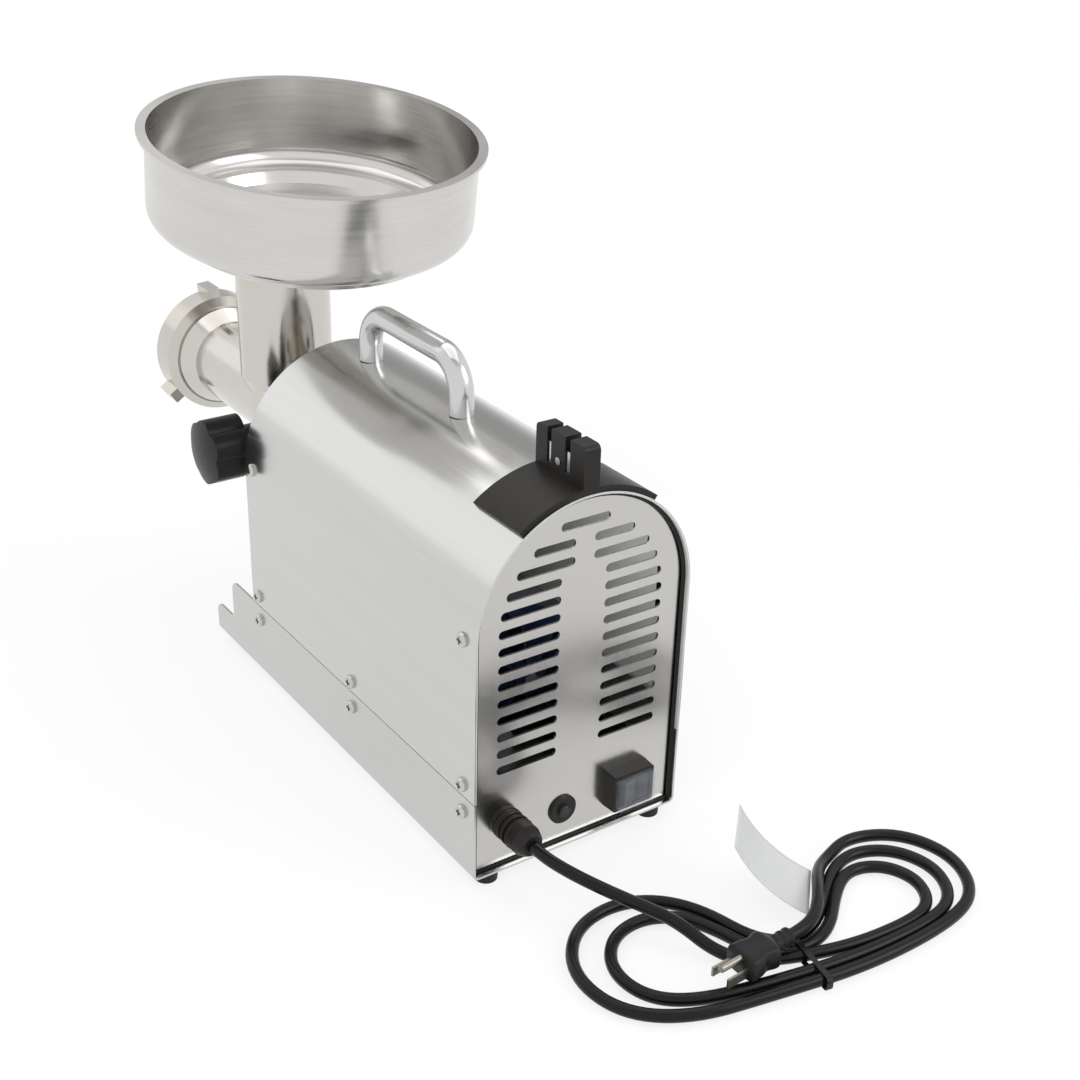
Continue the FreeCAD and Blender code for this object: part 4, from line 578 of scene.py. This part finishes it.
def to_mesh(name: str, bm: bmesh.types.BMesh) -> Mesh:
    """Turns the faces of a finished bmesh outwards and keeps it as a mesh.

    Args:
        name: the mesh's name.
        bm: the bmesh, which is freed.

    Returns:
        The mesh.
    """
    bmesh.ops.recalc_face_normals(bm, faces=bm.faces)
    mesh = bpy.data.meshes.new(name)
    bm.to_mesh(mesh)
    bm.free()
    return mesh


def loft(name: str, sections: Sequence[Sequence[Vector]], loop: bool = False) -> Mesh:
    """Closed mesh through rings of points of equal count.

    Args:
        name: the mesh's name.
        sections: rings from one end to the other.
        loop: join the last ring to the first, in place of two caps.

    Returns:
        The mesh.
    """
    bm = bmesh.new()
    rings = [[bm.verts.new(p) for p in ring] for ring in sections]
    count = len(rings[0])
    for low, high in zip(rings, rings[1:] + rings[:1] if loop else rings[1:]):
        for i in range(count):
            bm.faces.new((low[i], low[(i + 1) % count], high[(i + 1) % count], high[i]))
    if not loop:
        bm.faces.new(list(reversed(rings[0])))
        bm.faces.new(rings[-1])
    return to_mesh(name, bm)


def dress(finish: Finish, *nodes: str) -> Material:
    """Gives CAD nodes a finish in place of their plain one.

    Args:
        finish: the finish.
        nodes: the nodes' names.

    Returns:
        The finish's material.
    """
    material = finish.material()
    for name in nodes:
        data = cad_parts[name].data
        data.materials.clear()
        data.materials.append(material)
        log.info("finish %s on %s", finish.name, name)
    return material


@dataclass
class Studio:
    """White surroundings, soft lamps, grey flags that only reflections see, and the camera."""

    eye: Point = (0.51898, 0.94098, 0.65466)
    right: Point = (-0.82305, 0.56735, 0.02643)
    up: Point = (-0.23512, -0.3827, 0.89345)
    ahead: Point = (-0.51702, -0.72914, -0.44838)
    lens: float = 53.875
    floor_reach: float = 9.0
    floor_span: Span = (0.35, 0.95)
    floor_glow: float = 0.78
    floor_greys: Span = (0.9, 0.93)
    flag_core: float = 0.25
    sky: Point = (0.95, 0.97, 1.0)
    sky_strength: float = 0.55

    def build(self) -> None:
        """Makes camera, floor, world, lamps and flags."""
        self.camera()
        self.floor()
        self.world()
        self.lamp("key_lamp", (1.5, 1.0, 1.9), (0.0, 0.0, 0.15), size=1.8, power=25.0, mirrored=False)
        self.lamp("rear_lamp", (-1.3, 1.9, 1.6), (0.0, 0.1, 0.15), size=1.4, power=16.0)
        self.lamp("top_lamp", (-0.2, -0.4, 2.3), (0.0, 0.0, 0.2), size=2.4, power=20.0)
        self.lamp("shoulder_lamp", (0.95, -1.6, 1.3), (0.0, 0.1, 0.2), size=1.6, power=2.0)
        self.lamp("inner_lamp", (0.03, REAR - 0.025, ARCH_Z + 0.045), (-0.07, REAR - 0.05, ARCH_Z + 0.03),
                  size=0.02, power=0.08, mirrored=False)
        self.flag("far_flag", (-1.3, -1.65, 0.85), (0.0, 0.0, 0.3), reach=1.3, level=0.4)
        self.flag("ceiling_flag", (0.0, 0.0, 2.9), (0.0, 0.0, 0.0), reach=2.2, level=0.28)

    def camera(self) -> None:
        """Camera at the photograph's angle."""
        data = bpy.data.cameras.new("view_camera")
        data.lens = self.lens
        data.sensor_width = 36.0
        data.clip_start = 0.01
        camera = new_object("view_camera", data)
        rows = [(r, u, -a, e) for r, u, a, e in zip(self.right, self.up, self.ahead, self.eye)]
        camera.matrix_world = Matrix((*rows, (0, 0, 0, 1)))
        bpy.context.scene.camera = camera
        bpy.context.scene.view_settings.view_transform = "Standard"

    @staticmethod
    def square(name: str, reach: float, material: Material) -> Object:
        """Level square about the origin.

        Args:
            name: the object's name.
            reach: half of its side.
            material: its finish.

        Returns:
            The object.
        """
        corners = [(-reach, -reach, 0), (reach, -reach, 0), (reach, reach, 0), (-reach, reach, 0)]
        mesh = bpy.data.meshes.new(name)
        mesh.from_pydata(corners, [], [(0, 1, 2, 3)])
        mesh.materials.append(material)
        return new_object(name, mesh)

    def floor(self) -> None:
        """Pale floor that keeps a soft shadow and looks white to the camera."""
        g = Graph("floor_white")
        cloud = g.noise(g.place(), scale=3.0)
        low, high = self.floor_greys
        g.surface(Base_Color=g.blend(cloud, grey(low), grey(high)), Roughness=0.9)
        lit = g.distance(*self.floor_span) * (1.0 - self.floor_glow) + self.floor_glow
        g.show(g.mixed(g.background_rays() * lit, g.shader.outputs[0], g.glow(WHITE)))
        floor = self.square("floor", self.floor_reach, g.material)

    def world(self) -> None:
        """Soft even light, and white where the background itself is seen."""
        world = bpy.data.worlds.new("studio")
        bpy.context.scene.world = world
        world.use_nodes = True
        t = Tree(world.node_tree)
        light = t.tree.nodes["Background"]
        t.feed(light.inputs["Color"], rgb(*self.sky))
        t.feed(light.inputs["Strength"], self.sky_strength)
        white = t.node("ShaderNodeBackground", {"Color": WHITE, "Strength": 1.0})
        seen = t.mixed(t.background_rays(), light.outputs[0], white.outputs[0])
        t.feed(t.tree.nodes["World Output"].inputs["Surface"], seen)

    @staticmethod
    def aim(thing: Object, place: Point, target: Point, axis: str) -> None:
        """Puts an object at a place, with one of its axes towards a target."""
        thing.location = place
        thing.rotation_euler = (Vector(target) - Vector(place)).to_track_quat(axis, "Y").to_euler()

    def flag(self, name: str, place: Point, target: Point, reach: float, level: float) -> None:
        """Soft-edged grey card that only reflections see.

        Args:
            name: the card's name.
            place: its middle.
            target: the point that it faces.
            reach: half of its side.
            level: grey at its middle; its edges are white.
        """
        g = Graph(name)
        edge = g.distance(self.flag_core * reach, reach)
        g.show(g.glow(g.blend(edge, grey(level), WHITE)))
        card = self.square(name, reach, g.material)
        self.aim(card, place, target, "Z")
        for ray in ("camera", "diffuse", "shadow", "transmission"):
            setattr(card, "visible_" + ray, False)

    def lamp(self, name: str, place: Point, target: Point, size: float, power: float,
             mirrored: bool = True) -> None:
        """Square area lamp that points at a target.

        Args:
            name: the lamp's name.
            place: its middle.
            target: the point that it faces.
            size: its side.
            power: watts.
            mirrored: whether reflections show it.
        """
        data = bpy.data.lights.new(name, "AREA")
        data.size = size
        data.energy = power
        lamp = new_object(name, data)
        self.aim(lamp, place, target, "-Z")
        lamp.visible_camera = False
        lamp.visible_glossy = mirrored


def level_unit(degrees: float) -> Vector:
    """Level unit vector at an angle."""
    return Vector((cos(radians(degrees)), sin(radians(degrees)), 0))


@dataclass
class HankRoute:
    """Line of the tied cord from the gland to the plug, in millimetres and degrees."""

    lead_points: Sequence[Point] = ((51.6, 22.9, 38.5), (51.6, 34.0, 38.5), (47.0, 50.0, 37.0),
                                    (40.0, 63.5, 34.2), (29.5, 78.0, 29.6), (18.0, 91.0, 24.6),
                                    (4.5, 107.5, 18.5))
    lead_join: float = 32.0
    lead_side: float = 1.0
    lead_lean: float = 14.0
    lead_pull: float = 24.0
    waist: Point = (-50.0, REAR / MM + 165.0, 5.5)
    left_turn: float = -39.3
    right_turn: float = 198.2
    step: float = 9.4
    left: Sequence[Span] = ((118.0, 36.0), (141.0, 50.0))
    right: Sequence[Span] = ((112.0, 26.8), (131.0, 35.8), (150.0, 45.0))
    bend: float = 30.0
    gathered: float = 24.0
    lifted: float = 4.7
    opened: float = 0.05
    plug_start: float = 9.0
    plug_side: float = 9.0
    plug_rest: float = 18.3
    plug_turn: float = 14.0
    tail_pull: float = 80.0
    tail_straight: float = 12.0
    tail_steps: int = 6
    tail_rise: float = 1.4
    tail_ease: float = 1.5
    left_way: Vector = field(init=False)
    right_way: Vector = field(init=False)
    along: Vector = field(init=False)
    top: Vector = field(init=False)

    def __post_init__(self) -> None:
        """Works out the headings of both lobes and of the waist."""
        self.left_way = level_unit(self.left_turn)
        self.right_way = level_unit(self.right_turn)
        self.along = (self.right_way - self.left_way).normalized()
        self.top = Vector((-self.along.y, self.along.x, 0))

    def spine(self, way: Vector, s: float) -> tuple:
        """Middle line of the hank out from its waist.

        Args:
            way: heading of the lobe.
            s: distance from the waist.

        Returns:
            Place, heading and upward normal.
        """
        ahead = self.along if self.along.dot(way) > 0 else -self.along
        side = Vector((-ahead.y, ahead.x, 0))
        bend = atan2(way.dot(side), way.dot(ahead))
        turned = bend * min(s / self.bend, 1.0)
        radius = self.bend / bend
        place = Vector(self.waist) + ahead * (radius * sin(turned))
        place = place + side * (radius * (1 - cos(turned)))
        heading = ahead * cos(turned) + side * sin(turned)
        up = Vector((heading.y, -heading.x, 0))
        if up.dot(self.top) < 0:
            up = -up
        return place + heading * max(s - self.bend, 0.0), heading, up

    def lobe(self, way: Vector, length: float, half: float, first: float, last: float, side: int) -> list:
        """Control points of one lobe, out along one side and back along the other.

        Args:
            way: heading of the lobe.
            length: reach of its tip.
            half: half of its width.
            first: offset of the strand that goes out, at the waist.
            last: offset of the strand that comes back.
            side: +1 to go out on the upper side.

        Returns:
            The points.
        """
        corner = half * tan(pi / 8)
        reach = length - half
        out = [(self.gathered, first + self.opened * (half - first)), (reach - corner, half),
               (reach + corner, half)]
        back = [(s, last + (o - first) * (half - last) / (half - first)) for s, o in reversed(out)]
        tip = (length, corner)
        points = []
        for flank, row in ((side, [*out, tip]), (-side, [tip, *back])):
            for s, offset in row:
                place, _, up = self.spine(way, s)
                points.append(place + up * (flank * offset))
        return points

    def hank(self) -> list:
        """Control points of the tied loops."""
        points = []
        for i, (length, half) in enumerate(self.right):
            offset = self.step * (i + 0.5)
            lobe = self.lobe(self.right_way, length, half, offset, offset, -1)
            if i == len(self.left):
                return points + lobe[:-2]
            points += lobe
            length, half = self.left[i]
            points += self.lobe(self.left_way, length, half, offset, offset + self.step, 1)
        return points

    def lead(self) -> list:
        """Points of the lead from the gland, over the left loops and into the hank."""
        placed = [Vector((x, REAR / MM + y, z)) for x, y, z in self.lead_points]
        join, heading, up = self.spine(self.left_way, self.lead_join)
        lean = radians(self.lead_lean)
        outward = heading * cos(lean) + up * sin(lean)
        join = join + up * self.lead_side
        return placed + [join + outward * self.lead_pull, join]

    def plug(self) -> tuple:
        """Place where the cord enters the plug, and the heading there."""
        turn = radians(self.plug_turn)
        side = Vector((self.along.y, -self.along.x, 0))
        place = Vector(self.waist) - self.along * self.plug_start + self.top * self.plug_side
        place.z = self.plug_rest
        return place, -self.along * cos(turn) + side * sin(turn)

    def tail(self) -> list:
        """Points of the tail, from the last loop over the waist to the plug."""
        length, half = self.right[-1]
        place, _, up = self.spine(self.right_way, length - half)
        begin = place + up * half
        finish, way = self.plug()
        start = begin - self.right_way * self.tail_straight
        plug = finish - way * self.tail_straight
        leave = -self.right_way * self.tail_pull
        arrive = way * self.tail_pull
        points = []
        for i in range(self.tail_steps + 1):
            t = i / self.tail_steps
            p = start * (2 * t ** 3 - 3 * t ** 2 + 1) + leave * (t ** 3 - 2 * t ** 2 + t)
            p = p + plug * (3 * t ** 2 - 2 * t ** 3) + arrive * (t ** 3 - t ** 2)
            rise = sin(pi / 2 * min(self.tail_rise * t, 1.0)) ** self.tail_ease
            p.z = start.z + (plug.z - start.z) * rise
            points.append(p)
        return points + [finish]

    def points(self) -> list:
        """All control points from the gland to the plug, in metres."""
        return [p * MM for p in self.lead() + self.hank() + self.tail()]


@dataclass
class MainsPlug:
    """Moulded plug with a ribbed neck and a waisted grip, whose places are shares of its length."""

    route: HankRoute
    length: float = 40.0 * MM
    width: float = 24.0 * MM
    tall: float = 17.0 * MM
    neck: float = 5.6 * MM
    rib: float = 0.5 * MM
    rib_rows: int = 4
    shoulder_at: float = 0.3
    shoulder_run: float = 0.18
    grip_at: float = 0.66
    grip_run: float = 0.11
    grip_depth: float = 0.16
    squareness: float = 1.6
    face_width: float = 0.93
    face_tall: float = 0.9
    rows: int = 32
    columns: int = 40

    def build(self) -> Object:
        """Makes the plug at the end of the route."""
        rubber = MouldedPlastic("plug_rubber", (0.009, 0.009, 0.0095), 0.4, 800.0).material()
        sections = [self.section(row) for row in range(self.rows + 1)]
        plug = new_piece("mains_plug", loft("mains_plug", sections), rubber, "base")
        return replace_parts(plug, "power_plug")

    def section(self, row: int) -> list:
        """Outline of the plug at one row.

        Args:
            row: number of the row, from the neck.

        Returns:
            The points.
        """
        place, way = self.route.plug()
        t = row / self.rows
        grow = min(1.0, max(0.0, (t - self.shoulder_at) / self.shoulder_run))
        grow = grow * grow * (3 - 2 * grow)
        rib = self.rib * (1 - grow) * (1 if row % self.rib_rows < self.rib_rows / 2 else -1)
        neck = (self.neck + rib) * (1 - grow)
        grip = 1.0 - self.grip_depth * exp(-((t - self.grip_at) / self.grip_run) ** 2)
        half_w = neck + self.width / 2 * grow * grip
        half_t = neck + self.tall / 2 * grow
        if row == self.rows:
            half_w, half_t = half_w * self.face_width, half_t * self.face_tall
        power = 2.0 + self.squareness * grow
        side = Vector((-way.y, way.x, 0))
        lift = Vector((0, 0, 1))
        points = []
        for k in range(self.columns):
            a = 2 * pi * k / self.columns
            across = side * (half_w * self.rounded(cos(a), power))
            points.append(place * MM + way * (t * self.length) + across
                          + lift * (half_t * self.rounded(sin(a), power)))
        return points

    @staticmethod
    def rounded(value: float, power: float) -> float:
        """Coordinate of a superellipse of that power."""
        return copysign(abs(value) ** (2 / power), value)


@dataclass
class CordTie:
    """Flat tie round the strands at the waist, in millimetres."""

    route: HankRoute
    slack: float = 0.6
    low: float = 0.9
    high: float = 10.1
    corner: float = 3.4
    corner_steps: int = 5
    half_width: float = 1.9
    thickness: float = 0.7

    def build(self) -> Object:
        """Makes the tie as a band with round corners."""
        route = self.route
        upper = route.step * len(route.left) + self.slack + route.lifted
        lower = route.step * len(route.right) + self.slack - route.lifted
        middle = Vector(((upper - lower) / 2, (self.low + self.high) / 2))
        corners = ((upper, self.high), (-lower, self.high), (-lower, self.low), (upper, self.low))
        outline = []
        for i, (x, z) in enumerate(corners):
            hub = Vector((x - copysign(self.corner, x), z - copysign(self.corner, z - middle.y)))
            for k in range(self.corner_steps + 1):
                a = pi / 2 * (i + k / self.corner_steps)
                outline.append(hub + Vector((cos(a), sin(a))) * self.corner)
        edge, wall = self.half_width, self.thickness
        sections = []
        for along, grow in ((-edge, 0.0), (-edge, wall), (edge, wall), (edge, 0.0)):
            ring = []
            for p in outline:
                grown = p + (p - middle).normalized() * grow
                at = Vector(route.waist) + route.along * along + route.top * grown.x
                at.z = grown.y
                ring.append(at * MM)
            sections.append(ring)
        plastic = MouldedPlastic("tie_plastic", (0.012, 0.012, 0.012), 0.35, 500.0).material()
        mesh = loft("cord_tie_strap", sections, loop=True)
        tie = new_piece("cord_tie_strap", mesh, plastic, "base", False)
        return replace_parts(tie, "cord_tie")


@dataclass
class PaperTag:
    """Blank paper flag that curls up from the cord, in millimetres and degrees."""

    foot: Point = (-105.3, REAR / MM + 108.3, 9.8)
    facing: float = -45.0
    radius: float = 96.0
    begin: float = 22.0
    sweep: float = 40.0
    width: float = 44.0
    curl: float = 1.2
    thickness: float = 0.3
    rows: int = 24
    columns: int = 16

    def build(self) -> Object:
        """Makes the tag."""
        across, out = level_unit(self.facing + 90.0), level_unit(self.facing)
        begin = radians(self.begin)
        bm = bmesh.new()
        grid = []
        for i in range(self.rows + 1):
            a = begin + radians(self.sweep) * i / self.rows
            reach = self.radius * (sin(a) - sin(begin))
            rise = self.radius * (cos(begin) - cos(a))
            row = []
            for k in range(self.columns + 1):
                s = k / self.columns
                p = Vector(self.foot) + across * (self.width * s) + out * reach
                p.z += rise - self.curl * sin(pi * s) * i / self.rows
                row.append(bm.verts.new(p * MM))
            grid.append(row)
        for near, far in zip(grid, grid[1:]):
            for k in range(self.columns):
                bm.faces.new((near[k], near[k + 1], far[k + 1], far[k]))
        paper = PlainPaper("blank_paper").material()
        tag = new_piece("paper_tag", to_mesh("paper_tag", bm), paper, "base")
        wall = tag.modifiers.new("thickness", "SOLIDIFY")
        wall.thickness = self.thickness * MM
        wall.offset = 0.0
        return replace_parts(tag, "cord_tag")


@dataclass
class PowerCord:
    """Mains cord in a tied hank, with its plug, tie and blank paper tag."""

    route: HankRoute = field(default_factory=HankRoute)
    radius: float = 4.0 * MM

    def build(self) -> None:
        """Makes the cord, the plug, the tie and the tag."""
        cord = self.cord()
        plug = MainsPlug(self.route).build()
        tie = CordTie(self.route).build()
        tag = PaperTag().build()
        dress(PolishedMetal("blade_nickel", (0.3, 0.28, 0.24), 0.3), "plug_blades")
        places = self.route.points()

    def cord(self) -> Object:
        """One smooth spline on the route's points, with a round section."""
        rubber = MouldedPlastic("cord_rubber", (0.004, 0.004, 0.0042), 0.27, 1100.0, 0.08, 0.3)
        data = bpy.data.curves.new("power_cord", "CURVE")
        data.dimensions = "3D"
        data.bevel_depth = self.radius
        data.bevel_resolution = 5
        data.resolution_u = 8
        data.use_fill_caps = True
        spline = data.splines.new("NURBS")
        places = self.route.points()
        spline.points.add(len(places) - 1)
        for point, place in zip(spline.points, places):
            point.co = (*place, 1.0)
        spline.order_u = 3
        spline.use_endpoint_u = True
        data.materials.append(rubber.material())
        cord = new_object("power_cord", data)
        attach(cord, "base")
        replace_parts(cord, "power_cord_lead", "power_cord_hank", "power_cord_tail")
        log.info("piece power_cord: %d control points", len(places))
        return cord

    @staticmethod
    def measure(cord: Object) -> float:
        """Length of the cord's line in metres."""
        return round(sum(s.calc_length() for s in cord.data.splines), 3)


@dataclass
class Housing:
    """Sheet steel body, its panels, screws, handle, sharpener and rear controls."""

    lining: float = 79.3 * MM
    inside: float = 78.4 * MM
    floor_z: float = 9.6 * MM
    strip_width: float = 1.6 * MM
    strip_depth: float = 3.0 * MM
    strip_round: float = 0.25
    foot_depth: float = 1.2 * MM
    arch_steps: int = 36
    round_steps: int = 4
    gland: Point = (51.6 * MM, 38.5 * MM)
    ridge_rows: Sequence[float] = (1.2 * MM, 8.0 * MM, 12.6 * MM)
    ridge_radius: float = 10.1 * MM
    ridge_wire: float = 0.75 * MM

    @property
    def edge(self) -> float:
        """Reach of the dark rim strip's line to each side, and its radius over the arch."""
        return self.inside - self.strip_width / 2

    def build(self) -> None:
        """Dresses the body's nodes and adds the dark strips of painted rim shade and the gland's ridges."""
        dress(BrushedSteel("cover_steel", (0.6, 0.6, 0.59), 0.19, lining=self.lining), "housing_cover")
        dress(BrushedSteel("base_steel", (0.57, 0.57, 0.56), 0.22), "base_tray")
        dress(BrushedSteel("panel_satin", (0.56, 0.55, 0.53), 0.2, Grain.EVEN, 0.02, 0.015, 0.06),
              "rear_panel")
        dress(BrushedSteel("plate_steel", (0.55, 0.55, 0.54), 0.2, Grain.UPRIGHT), "front_plate")
        dress(BrushedSteel("zinc_sheet", (0.56, 0.57, 0.58), 0.38, Grain.EVEN),
              "rail_left", "rail_right", "motor_cradle", "capacitor_strap")
        dress(PolishedMetal("screw_steel", (0.56, 0.55, 0.53), 0.2, 0.1), "cover_screws", "base_screws",
              "foot_screws", "handle_bolts", "gearbox_bolts", "sharpener_pin", "clamp_screw")
        dress(PolishedMetal("handle_chrome", (0.62, 0.62, 0.62), 0.19, 0.04), "carry_handle")
        black = dress(MouldedPlastic("satin_black_plastic", (0.013, 0.0115, 0.0105), 0.4),
                      "sharpener_body", "switch_frame", "switch_body", "breaker_body", "breaker_collar",
                      "gland_body", "gland_cap")
        dress(MouldedPlastic("foot_rubber", (0.016, 0.016, 0.016), 0.62), "rubber_feet", "oil_seal")
        dress(PolishedMetal("blade_steel", (0.6, 0.6, 0.6), 0.2), "sharpener_blades")
        dress(MouldedPlastic("button_gloss", (0.03, 0.032, 0.036), 0.24, 400.0, 0.1),
              "switch_rocker", "reset_button")
        dress(ClearPlastic("clear_cap"), "switch_cap")
        self.paint_rim_shade()
        self.gland_ridges(black)

    def paint_rim_shade(self) -> None:
        """Painted shade: black strips on the rear panel that stand in for the shade and dark reflection
        round the rim, up the sides and over the arch, and a thin line of painted shadow in the gap along its
        foot.
        """
        # Painted shade: black material put where the rim only shows shade and dark reflection, and in the
        # gap at the panel's foot.
        rubber = MouldedPlastic("seal_rubber", (0.012, 0.012, 0.012), 0.45, 500.0).material()
        edge, top = self.edge, ARCH_Z + self.edge
        low = self.floor_z + self.strip_width / 2
        around = [(-edge, low), (-edge, top), (edge, top), (edge, low)]
        self.strip("panel_seal", around, self.strip_depth, rubber)
        self.strip("panel_foot_seal", [(-edge, low), (edge, low)], self.foot_depth, rubber)

    def strip(self, name: str, corners: Sequence[Point], depth: float, material: Material) -> None:
        """Soft-edged dark strip of painted shade on the rear panel's face.

        Args:
            name: the piece's name.
            corners: X and Z of the corners that its line goes round.
            depth: how far it stands out from the panel.
            material: its finish.
        """
        host = bpy.data.meshes.new(name)
        host.from_pydata([(x, PANEL_Y + depth / 2, z) for x, z in corners],
                         [(i, i + 1) for i in range(len(corners) - 1)], [])
        t = Pattern(name, {"Width": self.strip_width, "Depth": depth, "Arch Radius": self.edge})
        path = t.node("GeometryNodeMeshToCurve", {"Mesh": t.given.outputs[0]})
        bent = t.node("GeometryNodeFilletCurve",
                      {"Curve": path.outputs[0], "Count": self.arch_steps,
                       "Radius": t.size("Arch Radius"), "Limit Radius": True}, mode="POLY")
        section = t.node("GeometryNodeCurvePrimitiveQuadrilateral",
                         {"Width": t.size("Depth"), "Height": t.size("Width")})
        soft = t.node("GeometryNodeFilletCurve",
                      {"Curve": section.outputs[0], "Count": self.round_steps,
                       "Radius": t.size("Width") * self.strip_round}, mode="POLY")
        run = t.node("GeometryNodeCurveToMesh",
                     {"Curve": bent.outputs[0], "Profile Curve": soft.outputs[0], "Fill Caps": True})
        new_piece(name, t.mesh(run.outputs[0], host, material), material, "base")

    def gland_ridges(self, material: Material) -> None:
        """Rounded grip ridges round the cable gland.

        Args:
            material: their finish.
        """
        places = [(self.gland[0], PANEL_Y + back, self.gland[1]) for back in self.ridge_rows]
        mesh = ring_pattern("gland_ridges", places, self.ridge_radius, self.ridge_wire, material)
        new_piece("gland_ridges", mesh, material, "base")


@dataclass
class GrindingHead:
    """Cast head with its collar, ring nut, plate, knife, auger and clamp knob."""

    plate_front: float = FRONT - 224.0 * MM
    plate_rings: Sequence[tuple] = ((12.0 * MM, 8), (20.0 * MM, 14), (28.2 * MM, 20))
    rim_radius: float = 3.35 * MM
    rim_wire: float = 0.28 * MM

    def build(self) -> None:
        """Dresses the head's nodes and adds the rims of the plate's holes."""
        dress(PolishedMetal("head_polish", (0.6, 0.58, 0.54), 0.15, 0.12, 0.1), "head_casting")
        dress(PolishedMetal("nut_polish", (0.58, 0.555, 0.51), 0.18, 0.15, 0.3), "ring_nut", "head_collar")
        dress(BrushedSteel("ground_steel", (0.55, 0.55, 0.55), 0.24, Grain.CROSSWISE, 0.15),
              "grinder_plate", "grinder_knife")
        dress(PolishedMetal("auger_casting", (0.66, 0.65, 0.63), 0.26, 0.2, 0.4), "auger")
        dress(PolishedMetal("black_oxide", (0.09, 0.09, 0.095), 0.3, 0.1, 0.5), "collar_bolts")
        dress(MouldedPlastic("knob_plastic", (0.011, 0.011, 0.011), 0.38, 600.0), "clamp_knob")
        self.hole_rims()

    def hole_rims(self) -> None:
        """Ground edges of the holes in the front of the grinder plate."""
        steel = PolishedMetal("rim_steel", (0.6, 0.6, 0.6), 0.2).material()
        places = []
        for circle, count in self.plate_rings:
            for i in range(count):
                turn = 2 * pi * i / count
                x, z = circle * cos(turn), DRIVE_Z + circle * sin(turn)
                places.append((x, self.plate_front, z))
        mesh = ring_pattern("plate_hole_rims", places, self.rim_radius, self.rim_wire, steel)
        new_piece("plate_hole_rims", mesh, steel, "head")


@dataclass
class HopperPan:
    """Spun steel pan that sits tipped back on its loose neck."""

    tip: float = radians(8.2)
    throat_y: float = FRONT - 91.0 * MM
    throat_top: float = DRIVE_Z + 147.0 * MM
    neck_radius: float = 35.4 * MM
    gap: float = 0.2 * MM
    off_centre: float = 51.4 * MM

    def build(self) -> None:
        """Dresses the pan, with its brush lines about its tilted middle."""
        hole = Vector((0, self.throat_y, self.throat_top + self.neck_radius * tan(self.tip) + self.gap))
        back = Vector((0, cos(self.tip), -sin(self.tip)))
        centre = hole + back * self.off_centre
        dress(TurnedSteel("pan_steel", tuple(centre), self.tip), "hopper_pan")


@dataclass
class Drive:
    """Motor and gearbox behind the panels."""

    def build(self) -> None:
        """Dresses the inner nodes."""
        dress(MouldedPlastic("motor_paint", (0.05, 0.055, 0.06), 0.4, 300.0, 0.2),
              "motor_casing", "motor_end_bell")
        dress(PolishedMetal("cast_aluminium", (0.55, 0.55, 0.54), 0.42, 0.3, 0.7),
              "gearbox_housing", "gearbox_lid")
        dress(PolishedMetal("copper_enamel", (0.52, 0.24, 0.11), 0.3, 0.3, 0.5), "stator_windings")
        dress(BrushedSteel("machined_steel", (0.58, 0.58, 0.58), 0.3, Grain.EVEN), "stator_core",
              "rotor_core", "ball_bearings", "rotor_shaft", "layshaft", "layshaft_gear", "output_gear",
              "output_shaft")
        dress(MouldedPlastic("fan_plastic", (0.008, 0.014, 0.034), 0.4), "cooling_fan")
        dress(MouldedPlastic("capacitor_can", (0.03, 0.03, 0.032), 0.35), "run_capacitor")


def main() -> None:
    """Builds the scene, one sub-assembly after another."""
    logging.basicConfig(level=logging.INFO, format="%(name)s: %(message)s")
    for assembly in (Studio(), PowerCord(), Housing(), GrindingHead(), HopperPan(), Drive()):
        assembly.build()


if __name__ == "__main__":
    main()
